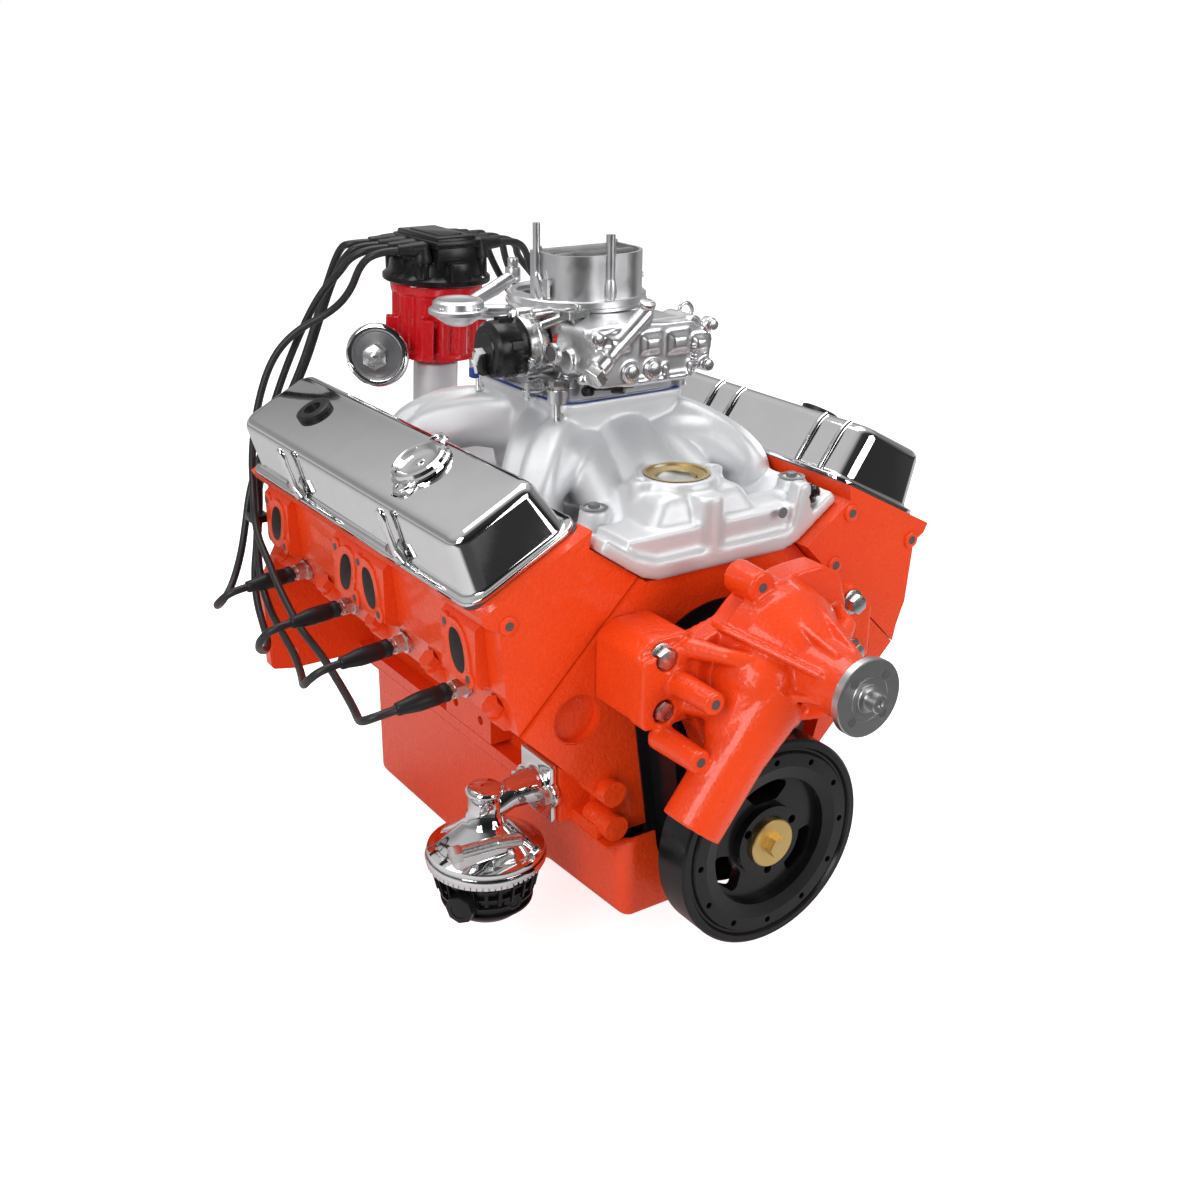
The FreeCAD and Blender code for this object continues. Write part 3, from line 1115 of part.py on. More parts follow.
boot_z = 457.0
cap_boot_way = {1: V(1, 0.12, 0).normalize(), -1: V(-1, 0.12, 0).normalize()}
cap_ends = {-1: [], 1: []}
for side, spot in tower_spots:
    centre = V(spot.x, spot.y, boot_z)
    reach = cap_boot_way[side] * 26
    boot = fused([up(tower_r + 2.2, spot.x, spot.y, cap_top - 4, boot_z + 7), rod(6.4, centre, centre + reach)])
    boots.append(boot.cut(up(tower_r + 0.3, spot.x, spot.y, cap_top - 20, cap_top + 0.3)))
    cap_ends[side].append(centre + reach)
export("wire_boots", boots)

# Plug wires: eight cords from the cap, down behind the heads and forward to the plugs

right_routes = [
    [(-122, -60, 446), (-127, -42, 414), (-142, -25, 392), (-174, -7, 374), (-199, 3, 346), (-218, 4, 300),
     (-230, 0, 250), (-234, -7, 214), (-240, -20, 190), (-248, -46, 173), (-253, -80, 162),
     (-258, -118, 144), (-260, -170, 118), (-263, -222, 113), (-271, -272, 112), (-281, -322, 112),
     (-291, -362, 115), (-301, -392, 120), (-304, -408, 127)],
    [(-124, -38, 448), (-128, -22, 432), (-147, -8, 408), (-168, 6, 362), (-190, 12, 312), (-210, 12, 262),
     (-222, 6, 222), (-227, -2, 186), (-238, -16, 154), (-249, -46, 126), (-256, -84, 106),
     (-261, -126, 97), (-267, -170, 92), (-279, -214, 92), (-292, -250, 99), (-302, -276, 107),
     (-305, -294, 120)],
    [(-118, -20, 450), (-124, 2, 424), (-134, 18, 382), (-152, 26, 328), (-180, 26, 282), (-204, 20, 244),
     (-219, 14, 210), (-226, 10, 176), (-230, 7, 146), (-240, -4, 116), (-249, -30, 94), (-256, -62, 81),
     (-264, -94, 76), (-277, -122, 79), (-292, -148, 92), (-302, -168, 105), (-305, -183, 120)],
    [(-112, 10, 452), (-120, 28, 416), (-136, 36, 364), (-156, 38, 316), (-184, 36, 272), (-210, 30, 236),
     (-228, 22, 200), (-238, 14, 168), (-250, 2, 140), (-268, -16, 116), (-286, -34, 106),
     (-300, -52, 108), (-305, -68, 118)]]


def cord(points, radius):
    """A round cord along straight runs joined by tangent arcs, each as large as its runs allow."""
    edges = []
    start = points[0]
    smallest = 1e9
    for before, here, after in zip(points, points[1:], points[2:]):
        back, ahead = (before - here), (after - here)
        run = 0.45 * min(back.Length, ahead.Length)
        back.normalize()
        ahead.normalize()
        half = back.getAngle(ahead) / 2
        bend = run * tan(half)
        smallest = min(smallest, bend)
        middle = here + (back + ahead).normalize() * (bend / sin(half) - bend)
        edges.append(Part.LineSegment(start, here + back * run).toShape())
        edges.append(Part.Arc(here + back * run, middle, here + ahead * run).toShape())
        start = here + ahead * run
    edges.append(Part.LineSegment(start, points[-1]).toShape())
    path = Part.Wire(edges)
    first = points[1] - points[0]
    section = Part.Wire([Part.makeCircle(radius, points[0], first)])
    tube = path.makePipeShell([section], True, False)
    print("cord: length", round(path.Length), "smallest bend", round(smallest, 1),
          "volume ratio", round(tube.Volume / (pi * radius ** 2 * path.Length), 4))
    return tube


cap_exit, plug_exit = 20.0, 18.0
left_shift = bank_centre[1] - bank_centre[-1]
for side in sides:
    for k in cylinders:
        route = [V(*point) for point in right_routes[k]]
        if side == 1:
            middle = 2 * on_axis(boot_z).x
            mix = [min(1.0, (boot_z - p.z) / 160) for p in route]
            route = [V(-p.x + (1 - m) * middle, p.y + m * left_shift, p.z) for p, m in zip(route, mix)]
        boot_end = V(side * plug_x, bore_y(side, k), plug_z) + plug_way(side) * boot_length
        cap_end = cap_ends[side][k]
        route = ([cap_end, cap_end + cap_boot_way[side] * cap_exit] + route
                 + [boot_end + plug_way(side) * plug_exit, boot_end])
        number = 2 * k + (1 if side == 1 else 2)
        export("plug_wire_" + str(number), cord(route, wire_r))

# Water pump: a ribbed iron housing on two legs, with its hub, shaft and impeller

plate_front, plate_back = -574.0, -547.0
leg_face = -560.0
foot_y = block_front - 0.3
wall = [(-80, 206), (-44, 214), (-20, 236), (20, 246), (54, 248), (74, 236), (84, 206), (84, 140), (60, 122), (24, 84),
        (-20, 62), (-44, 66), (-62, 96), (-80, 138)]
legs = [slab([(-131, 138), (-131, 201), (-114, 212), (-74, 212), (-74, 138)], leg_face, foot_y, 8.0),
        slab([(130, 138), (130, 189), (110, 208), (78, 222), (78, 138)], leg_face, foot_y, 6.0)]
body = slab(wall, plate_front, plate_back, 7.0)
web = slab([(-131, 137), (-131, 199), (-74, 206), (-74, 137)], plate_front + 4, leg_face + 8, 6.0)
dome = turned([(0, 0), (62, 0), (58, 22), (40, 48), (30, 62), (27, 90), (25, 106), (0, 106)], V(0, plate_front, pump_axis_z),
              V(0, -1, 0))
pipe_r = 26.4
pipe_end = V(-112, -614, 64)
pipe_root = V(-30, -613, 168)
pipe_way = (pipe_end - pipe_root).normalize()
pipe = fused([rod(pipe_r, pipe_root, pipe_end), cone(33, pipe_r, pipe_root, pipe_root + pipe_way * 60)])
boss_spots = [(-1, 233, 14.0, -560 - 22), (-46, 135, 11.0, -560 - 40), (-92, 112, 11.0, -606)]
bosses = [along_y(r, y0, plate_back - 2, x, z) for x, z, r, y0 in boss_spots]
ribs = []
for turn, r_end in ((20, 60), (62, 58), (104, 52), (150, 74), (196, 66), (236, 70), (300, 64), (340, 62)):
    points = [V(18, 0, 98), V(30, 0, 88), V(r_end, 0, 12), V(r_end, 0, -4), V(18, 0, -4)]
    rib = Part.Face(Part.makePolygon(points + [points[0]])).extrude(V(0, 6, 0))
    rib.translate(V(0, -3, 0))
    rib.rotate(V(0, 0, 0), V(0, 0, 1), turn)
    rib.Placement = FreeCAD.Placement(V(0, plate_front, pump_axis_z), FreeCAD.Rotation(V(1, 0, 0), 90)).multiply(rib.Placement)
    ribs.append(rib)
housing = fused([body, web, dome, pipe] + legs + bosses + ribs)
impeller_r = 44.0
tools = [along_y(impeller_r + 4, plate_front - 4, plate_back - 6, 0, pump_axis_z),
         along_y(pump_shaft_r + fit, plate_front - 130, plate_front, 0, pump_axis_z),
         rod(pipe_r - 4.0, pipe_end + pipe_way, pipe_root + pipe_way * 40), cover_shell(11.6, seat_y - 2.5, seat_y + 1),
         along_y(balancer_r + 3, balancer_front - 1, plate_back + 1)]
tools += [along_y(pump_bolt_r + 0.4, plate_front - 20, foot_y + 1, x, z) for x, z in pump_bolt_spots]
tools += [along_y(10.5, plate_front - 20, leg_face, x, z) for x, z in pump_bolt_spots]
tools += [along_y(4.0, y0 - 1, y0 + 24, x, z) for x, z, r, y0 in boss_spots]
for side in sides:
    tools.append(slab([(side * 86, 160), (side * 98, 160), (side * 98, 186), (side * 86, 186)], -552, foot_y + 1, 3.0))
export("water_pump_housing", cut(housing, tools))

hub_back = pump_hub_y + 8.0
rotor = fused([along_y(pump_shaft_r, pump_hub_y - 12.8, plate_back - 8, 0, pump_axis_z),
               along_y(pump_hub_r, pump_hub_y, hub_back, 0, pump_axis_z),
               along_y(16.0, hub_back, plate_front - 106.5, 0, pump_axis_z),
               along_y(impeller_r, plate_back - 12, plate_back - 9, 0, pump_axis_z)] +
              [box(-1.5, 1.5, plate_front + 2, plate_back - 12, pump_axis_z + 12, pump_axis_z + impeller_r - 1)
               .rotate(V(0, 0, pump_axis_z), V(0, 1, 0), 60 * k) for k in range(6)])
hub_bolt_r, hub_pcd = 4.0, 47.0
rotor = cut(rotor, [along_y(hub_bolt_r, pump_hub_y - 1, hub_back + 1, hub_pcd / 2 * cos(radians(45 + 90 * k)),
                            pump_axis_z + hub_pcd / 2 * sin(radians(45 + 90 * k))) for k in range(4)])
export("water_pump_rotor", rotor)
water_pump_bolts = [bolt(V(x, leg_face - 0.1, z), V(0, -1, 0), pump_bolt_r, -leg_face + block_front + 10, 14.0, 9.0)
                    for x, z in pump_bolt_spots]

# Fuel pump: chrome body with a cone, black valve bowl below, and a rocker arm into the block

pump_x, pump_y, pump_z = -201.0, -430.0, -22.0
fuel_body = turned([(0, 0), (50, 0), (53, 3), (53, 7), (44, 10), (20, 30), (17, 33), (17, 38), (15, 40), (15, 66), (0, 66)],
                   V(pump_x, pump_y, pump_z), V(0, 0, 1))
face_x = pump_pad_x - 0.3
housing = fused([fuel_body,
                 slab([(pump_x, 2), (pump_x, 40), (pump_x + 22, 47), (face_x - 5, 50), (face_x - 5, 8)],
                      pump_y - 15, pump_y + 15, 3.0),
                 box(face_x - 7, face_x, pump_y - fuel_pad_half, pump_y + fuel_pad_half, 4, 56),
                 Part.makeBox(52, 11, 16, V(pump_x - 50, pump_y - 38, pump_z + 14))])
arm_pivot = V(pump_x + 30, pump_y, fuel_pad_z)
housing = housing.cut(box(pump_x + 14, face_x + 1, pump_y - 10, pump_y + 10, 15, 41))
housing = housing.cut(rod(3.2 + fit, arm_pivot - V(0, 30, 0), arm_pivot + V(0, 30, 0)))
bolt_tools = [rod(4.6, V(face_x - 10, pump_y + d, fuel_pad_z), V(face_x + 1, pump_y + d, fuel_pad_z))
              for d in (-fuel_bolt_d, fuel_bolt_d)]
housing = housing.cut(Part.makeCompound(bolt_tools))
export("fuel_pump_body", housing)
bowl = turned([(0, 0), (26, 0), (38, 10), (41, 30), (46, 50), (52, 56), (52, 60), (0, 60)], V(pump_x, pump_y, pump_z - 60.3),
              V(0, 0, 1))
ports = [rod(11, V(pump_x - 30, pump_y - 20, pump_z - 30), V(pump_x - 50, pump_y - 34, pump_z - 30)),
         rod(11, V(pump_x + 10, pump_y - 30, pump_z - 30), V(pump_x + 2, pump_y - 50, pump_z - 30))]
export("fuel_pump_bowl", fused([bowl] + ports))
pin = rod(3.2, arm_pivot - V(0, 16.8, 0), arm_pivot + V(0, 16.8, 0))
arm = fused([box(arm_pivot.x - 12, -104, pump_y - 5, pump_y + 5, fuel_pad_z - 4, fuel_pad_z + 4), pin,
             rod(7.5, arm_pivot - V(0, 5, 0), arm_pivot + V(0, 5, 0)), box(-112, -100, pump_y - 7, pump_y + 7, fuel_pad_z - 5, fuel_pad_z + 7)])
export("fuel_pump_arm", arm)
fuel_pump_bolts = [bolt(V(face_x - 7.1, pump_y + d, fuel_pad_z), V(-1, 0, 0), 4.3, 20.0, 13.0, 8.0)
                   for d in (-fuel_bolt_d, fuel_bolt_d)]
export("accessory_bolts", intake_bolts + water_pump_bolts + fuel_pump_bolts)
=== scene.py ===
import json
from math import cos, pi, radians, sin

import bmesh
import bpy
from mathutils import Matrix, Vector


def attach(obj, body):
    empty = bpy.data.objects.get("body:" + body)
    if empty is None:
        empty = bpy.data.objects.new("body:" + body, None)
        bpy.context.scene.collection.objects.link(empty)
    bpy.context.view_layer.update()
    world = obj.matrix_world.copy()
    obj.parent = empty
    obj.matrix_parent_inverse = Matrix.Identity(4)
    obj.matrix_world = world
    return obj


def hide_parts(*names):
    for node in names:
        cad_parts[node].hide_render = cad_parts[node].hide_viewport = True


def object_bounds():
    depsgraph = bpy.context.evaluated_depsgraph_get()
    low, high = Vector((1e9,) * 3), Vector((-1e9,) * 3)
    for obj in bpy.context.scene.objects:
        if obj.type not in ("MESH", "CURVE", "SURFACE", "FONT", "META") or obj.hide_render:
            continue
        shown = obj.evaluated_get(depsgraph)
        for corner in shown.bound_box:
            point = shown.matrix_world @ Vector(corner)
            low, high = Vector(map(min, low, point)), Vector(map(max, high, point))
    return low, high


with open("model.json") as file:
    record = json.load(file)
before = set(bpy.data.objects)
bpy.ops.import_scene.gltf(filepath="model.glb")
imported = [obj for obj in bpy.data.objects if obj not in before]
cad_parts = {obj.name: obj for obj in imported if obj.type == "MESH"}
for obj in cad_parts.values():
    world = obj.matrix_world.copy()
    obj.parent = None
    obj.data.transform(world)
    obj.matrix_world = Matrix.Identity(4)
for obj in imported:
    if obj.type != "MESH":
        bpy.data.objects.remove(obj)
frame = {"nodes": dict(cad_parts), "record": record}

cad_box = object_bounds()
scene = bpy.context.scene
scene.view_settings.view_transform = "Standard"
mm = 0.001

# Camera: the photograph looks at the front right corner of the engine, from a little above
# the carburettor. The place and lens were fitted to the known sizes of such an engine.
photo_right = Vector((0.82762, -0.56119, 0.01007))
photo_down = Vector((-0.20279, -0.31570, -0.92693))
photo_forward = Vector((0.52337, 0.76511, -0.37509))
camera_place = (-0.7669, -1.4362, 0.6889)
lens = bpy.data.cameras.new("camera")
lens.lens = 44.1
lens.sensor_width = 36.0
camera = bpy.data.objects.new("camera", lens)
turn = Matrix((photo_right, -photo_down, -photo_forward)).transposed().to_4x4()
camera.matrix_world = Matrix.Translation(camera_place) @ turn
scene.collection.objects.link(camera)
scene.camera = camera


# Shader maths: a socket takes part in Python arithmetic, and each expression adds its nodes.
# All finishes below are made from these two classes.
class Socket:
    def __init__(self, nodes, link):
        self.nodes = nodes
        self.link = link

    def __add__(self, other):
        return self.nodes.maths("ADD", self, other)

    def __mul__(self, other):
        return self.nodes.maths("MULTIPLY", self, other)

    __radd__ = __add__
    __rmul__ = __mul__


class Nodes:
    def __init__(self, tree):
        self.tree = tree

    def node(self, kind, settings=None, values=None, output=0):
        made = self.tree.nodes.new(kind)
        for name, value in (settings or {}).items():
            if name == "stops":
                while len(made.color_ramp.elements) < len(value):
                    made.color_ramp.elements.new(0.5)
                for stop, (place, shade) in zip(made.color_ramp.elements, value):
                    stop.position = place
                    stop.color = (shade, shade, shade, 1)
            else:
                setattr(made, name, value)
        for name, value in (values or {}).items():
            self.feed(made.inputs[name], value)
        return Socket(self, made.outputs[output])

    def feed(self, socket, value):
        if isinstance(value, Socket):
            self.tree.links.new(value.link, socket)
        else:
            socket.default_value = value

    def maths(self, operation, first, second):
        return self.node("ShaderNodeMath", {"operation": operation}, {0: first, 1: second})

    def ramp(self, value, *stops):
        return self.node("ShaderNodeValToRGB", {"stops": stops}, {"Fac": value})

    def mix(self, factor, first, second):
        colours = [(*c, 1) if isinstance(c, tuple) else c for c in (first, second)]
        return self.node("ShaderNodeMix", {"data_type": "RGBA"},
                         {0: factor, 6: colours[0], 7: colours[1]}, output=2)


class Finish(Nodes):
    """A material whose patterns read Object coordinates, in metres."""

    def __init__(self, name, roughness=0.5, metallic=0.0, coat=0.0, coat_roughness=0.05):
        self.material = bpy.data.materials.new(name)
        self.material.use_nodes = True
        super().__init__(self.material.node_tree)
        self.shader = self.tree.nodes["Principled BSDF"]
        self.place = self.node("ShaderNodeTexCoord", output="Object")
        self.set("Roughness", roughness)
        self.set("Metallic", metallic)
        self.set("Coat Weight", coat)
        self.set("Coat Roughness", coat_roughness)

    def set(self, name, value):
        if isinstance(value, tuple):
            value = (*value, 1)
        self.feed(self.shader.inputs[name], value)

    def noise(self, size, detail=3.0, contrast=0.5, stretch=(1, 1, 1)):
        """Smooth noise whose features are about the given size in metres."""
        spread = self.node("ShaderNodeMapping", {}, {"Vector": self.place, "Scale": stretch})
        return self.node("ShaderNodeTexNoise", {}, {"Vector": spread, "Scale": 1 / size, "Detail": detail,
                                                   "Roughness": contrast})

    def bump(self, height, depth):
        """Relief of the given depth in metres."""
        relief = self.node("ShaderNodeBump", {}, {"Height": height, "Distance": depth, "Strength": 1.0})
        self.set("Normal", relief)


# Studio: a white floor under the sump and a white surround. The metal sees a bright floor beside
# the engine and a dark room in front of it, as the photograph's chrome does. That dark is partly the
# surround, dark to reflected rays, and partly a painted reflection on the floor: to reflected rays
# alone the floor's colour is greyer beside the engine and nearly black in front of it.
floor_height = cad_box[0][2] - 0.0005
floor_size = 60.0
floor_white, floor_mirrored, floor_reflection_shade = 0.86, 0.62, 0.03
floor_glow = 0.72
reflection_shade_from, reflection_shade_to = -0.8, -1.1
surround_grey = 0.46


def white_floor():
    finish = Finish("white_floor", roughness=0.9)
    seen = finish.node("ShaderNodeLightPath", output="Is Camera Ray")
    glossy = finish.node("ShaderNodeLightPath", output="Is Glossy Ray")
    ahead = finish.node("ShaderNodeSeparateXYZ", {}, {0: finish.place}, output=1)
    # Painted reflection: glossy rays see the floor greyer, and nearly black towards the front of the engine.
    near = finish.node("ShaderNodeMapRange", {},
                       {0: ahead, 1: reflection_shade_from, 2: reflection_shade_to, 3: floor_mirrored, 4: floor_reflection_shade})
    finish.set("Base Color", finish.mix(glossy, (floor_white, floor_white, floor_white), near))
    finish.set("Emission Color", finish.mix(seen, (0, 0, 0), (1, 1, 1)))
    finish.set("Emission Strength", floor_glow)
    return finish.material


floor_mesh = bmesh.new()
bmesh.ops.create_grid(floor_mesh, x_segments=1, y_segments=1, size=floor_size,
                      matrix=Matrix.Translation((0, 0, floor_height)))
floor_data = bpy.data.meshes.new("floor")
floor_mesh.to_mesh(floor_data)
floor_data.materials.append(white_floor())
floor = bpy.data.objects.new("floor", floor_data)
scene.collection.objects.link(floor)

scene.world = bpy.data.worlds.new("surround")
scene.world.use_nodes = True
sky = Nodes(scene.world.node_tree)
background = sky.tree.nodes["Background"]
glossy = sky.node("ShaderNodeLightPath", output="Is Glossy Ray")
direct = sky.node("ShaderNodeLightPath", output="Is Camera Ray")
way = sky.node("ShaderNodeTexCoord", output="Generated")
ahead = sky.node("ShaderNodeSeparateXYZ", {}, {0: way}, output=1)
height = sky.node("ShaderNodeSeparateXYZ", {}, {0: way}, output=2)
upper = sky.ramp(height * 0.5 + 0.5, (0.0, 0.5), (0.5, 0.72), (0.58, 0.34), (0.68, 0.3), (0.8, 0.62),
                 (1.0, 0.78))
front = sky.ramp(ahead * 0.5 + 0.5, (0.0, 0.04), (0.24, 0.06), (0.42, 0.7), (1.0, 1.0))
mirrored_sky = sky.node("ShaderNodeMix", {"data_type": "RGBA", "blend_type": "MULTIPLY"},
                        {0: 1.0, 6: upper, 7: front}, output=2)
lit = sky.mix(glossy, (surround_grey, surround_grey, surround_grey), mirrored_sky)
sky.feed(background.inputs["Color"], sky.mix(direct, lit, (1.0, 1.0, 1.0)))


def lamp(name, place, aim, width, length, power):
    light = bpy.data.lights.new(name, "AREA")
    light.shape = "RECTANGLE"
    light.size = width
    light.size_y = length
    light.energy = power
    stand = bpy.data.objects.new(name, light)
    way = Vector(aim) - Vector(place)
    stand.matrix_world = Matrix.Translation(place) @ way.to_track_quat("-Z", "Y").to_matrix().to_4x4()
    scene.collection.objects.link(stand)


engine_middle = (0.0, -0.3, 0.15)
lamp("front_left_lamp", (-2.4, -1.6, 1.6), engine_middle, 1.2, 1.8, 42)
lamp("front_right_lamp", (1.2, -3.0, 1.1), engine_middle, 1.6, 1.6, 34)
lamp("top_lamp", (0.2, 0.3, 2.6), engine_middle, 2.2, 1.6, 40)


# Plug wires: eight 7.8 mm jacketed leads. Each leaves a boot on the distributor cap, drops
# behind the heads and comes forward under the exhaust ports to its plug's boot.
def jacket():
    finish = Finish("wire_jacket", roughness=0.42)
    dust = finish.noise(0.012, detail=4)
    finish.set("Base Color", finish.mix(dust, (0.008, 0.008, 0.009), (0.022, 0.022, 0.024)))
    finish.set("Roughness", dust * 0.2 + 0.32)
    finish.bump(finish.noise(0.0012), 0.0001)
    return finish.material


wire_jacket = jacket()
wire_diameter = 0.0078
bore_spacing = 0.11176
bank_middle = {1: -0.2722, -1: -0.2498}
cap_axis = Vector((-0.02873, -0.04451, 0.0))
cap_boot_height = 0.457
tower_reach, tower_spacing = 0.033, 0.022
plug_place = Vector((0.2135, 0.0, 0.1403))
plug_angle = radians(5)
plug_boot_length = 0.064
cap_boot_length = 0.026
right_routes = [
    [(-0.122, -0.06, 0.446), (-0.127, -0.042, 0.414), (-0.142, -0.025, 0.392), (-0.174, -0.007, 0.374),
     (-0.199, 0.003, 0.346), (-0.218, 0.004, 0.3), (-0.23, 0, 0.25), (-0.234, -0.007, 0.214),
     (-0.24, -0.02, 0.19), (-0.248, -0.046, 0.173), (-0.253, -0.08, 0.162), (-0.258, -0.118, 0.144),
     (-0.26, -0.17, 0.118), (-0.263, -0.222, 0.113), (-0.271, -0.272, 0.112), (-0.281, -0.322, 0.112),
     (-0.291, -0.362, 0.115), (-0.301, -0.392, 0.12), (-0.304, -0.408, 0.127)],
    [(-0.124, -0.038, 0.448), (-0.128, -0.022, 0.432), (-0.147, -0.008, 0.408), (-0.168, 0.006, 0.362),
     (-0.19, 0.012, 0.312), (-0.21, 0.012, 0.262), (-0.222, 0.006, 0.222), (-0.227, -0.002, 0.186),
     (-0.238, -0.016, 0.154), (-0.249, -0.046, 0.126), (-0.256, -0.084, 0.106), (-0.261, -0.126, 0.097),
     (-0.267, -0.17, 0.092), (-0.279, -0.214, 0.092), (-0.292, -0.25, 0.099), (-0.302, -0.276, 0.107),
     (-0.305, -0.294, 0.12)],
    [(-0.118, -0.02, 0.45), (-0.124, 0.002, 0.424), (-0.134, 0.018, 0.382), (-0.152, 0.026, 0.328),
     (-0.18, 0.026, 0.282), (-0.204, 0.02, 0.244), (-0.219, 0.014, 0.21), (-0.226, 0.01, 0.176),
     (-0.23, 0.007, 0.146), (-0.24, -0.004, 0.116), (-0.249, -0.03, 0.094), (-0.256, -0.062, 0.081),
     (-0.264, -0.094, 0.076), (-0.277, -0.122, 0.079), (-0.292, -0.148, 0.092), (-0.302, -0.168, 0.105),
     (-0.305, -0.183, 0.12)],
    [(-0.112, 0.01, 0.452), (-0.12, 0.028, 0.416), (-0.136, 0.036, 0.364), (-0.156, 0.038, 0.316),
     (-0.184, 0.036, 0.272), (-0.21, 0.03, 0.236), (-0.228, 0.022, 0.2), (-0.238, 0.014, 0.168),
     (-0.25, 0.002, 0.14), (-0.268, -0.016, 0.116), (-0.286, -0.034, 0.106), (-0.3, -0.052, 0.108),
     (-0.305, -0.068, 0.118)]]

# The far bank's leads mirror the near bank's across boot_middle_x. Over boot_blend below the cap
# they shift along the engine by the stagger of the banks.
boot_middle_x = -0.02715
boot_blend = 0.16
cap_run, plug_run = 0.020, 0.018


def bore_y(side, k):
    return bank_middle[side] + (k - 1.5) * bore_spacing


def plug_way(side):
    return Vector((side * cos(plug_angle), 0, -sin(plug_angle)))


def plug_seat(side, k):
    return Vector((side * plug_place.x, bore_y(side, k), plug_place.z))


def cap_boot_way(side):
    return Vector((side, 0.12, 0)).normalized()


def wire_route(side, k):
    route = [Vector(point) for point in right_routes[k]]
    if side == 1:
        for point in route:
            share = min(1.0, (cap_boot_height - point.z) / boot_blend)
            point.x = (1 - share) * 2 * boot_middle_x - point.x
            point.y += share * (bank_middle[1] - bank_middle[-1])
    tower = cap_axis + Vector((side * tower_reach, (k - 1.5) * tower_spacing, cap_boot_height))
    start = tower + cap_boot_way(side) * cap_boot_length
    end = plug_seat(side, k) + plug_way(side) * plug_boot_length
    return [start, start + cap_boot_way(side) * cap_run] + route + [end + plug_way(side) * plug_run, end]


for side in (-1, 1):
    for k in range(4):
        number = 2 * k + (1 if side == 1 else 2)
        line = bpy.data.curves.new("lead_%d" % number, "CURVE")
        line.dimensions = "3D"
        line.bevel_depth = wire_diameter / 2
        line.bevel_resolution = 4
        line.use_fill_caps = True
        line.resolution_u = 10
        spline = line.splines.new("NURBS")
        route = wire_route(side, k)
        spline.points.add(len(route) - 1)
        for point, spot in zip(spline.points, route):
            point.co = (*spot, 1)
        spline.order_u = 3
        spline.use_endpoint_u = True
        line.materials.append(wire_jacket)
        lead = bpy.data.objects.new("lead_%d" % number, line)
        scene.collection.objects.link(lead)
        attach(lead, "engine")
        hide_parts("plug_wire_%d" % number)


# Finishes of the castings, pressings and fittings. Each CAD node takes one, and the pieces
# added to it below take the same one.
def enamel(name, colour, shade, roughness=0.2, depth=0.0007):
    """Sprayed gloss enamel over a sand casting or a pressing."""
    finish = Finish(name, roughness=roughness, coat=0.3, coat_roughness=0.06)
    finish.set("Specular IOR Level", 0.3)
    patches = finish.noise(0.05, detail=5)
    grain = finish.noise(0.0035, detail=2)
    finish.set("Base Color", finish.mix(patches, colour, shade))
    finish.set("Roughness", grain * 0.22 + roughness)
    finish.bump(grain + finish.noise(0.02), depth)
    return finish.material


plating_grain, smudge_tone = 0.004, 0.88


def plated(name, colour, roughness, smudge, depth=0.00002, stretch=(1, 1, 1)):
    """Plated, polished or turned metal, with faint smudges."""
    finish = Finish(name, metallic=1.0)
    marks = finish.noise(0.03, detail=5)
    fine = finish.noise(plating_grain, detail=3, stretch=stretch)
    dark = tuple(c * smudge_tone for c in colour)
    finish.set("Base Color", finish.mix(marks, colour, dark))
    finish.set("Roughness", marks * smudge + fine * smudge + roughness)
    finish.bump(fine, depth)
    return finish.material


def cast(name, colour, dark, roughness, grain_size, depth, metallic=1.0):
    """A bare casting: fine sand grain, with darker tone in its low spots."""
    finish = Finish(name, metallic=metallic)
    grain = finish.noise(grain_size, detail=4, contrast=0.65)
    tone = finish.noise(0.035, detail=4)
    finish.set("Base Color", finish.mix(tone * 0.6 + grain * 0.4, dark, colour))
    finish.set("Roughness", grain * 0.25 + roughness)
    finish.bump(grain, depth)
    return finish.material


def moulded(name, colour, pale, roughness, depth=0.00008):
    """Moulded plastic, rubber or black paint with light scuffs."""
    finish = Finish(name)
    finish.set("Specular IOR Level", 0.35)
    scuffs = finish.noise(0.02, detail=6, contrast=0.6)
    grain = finish.noise(0.0009, detail=2)
    finish.set("Base Color", finish.mix(scuffs, colour, pale))
    finish.set("Roughness", scuffs * 0.2 + roughness)
    finish.bump(grain, depth)
    return finish.material


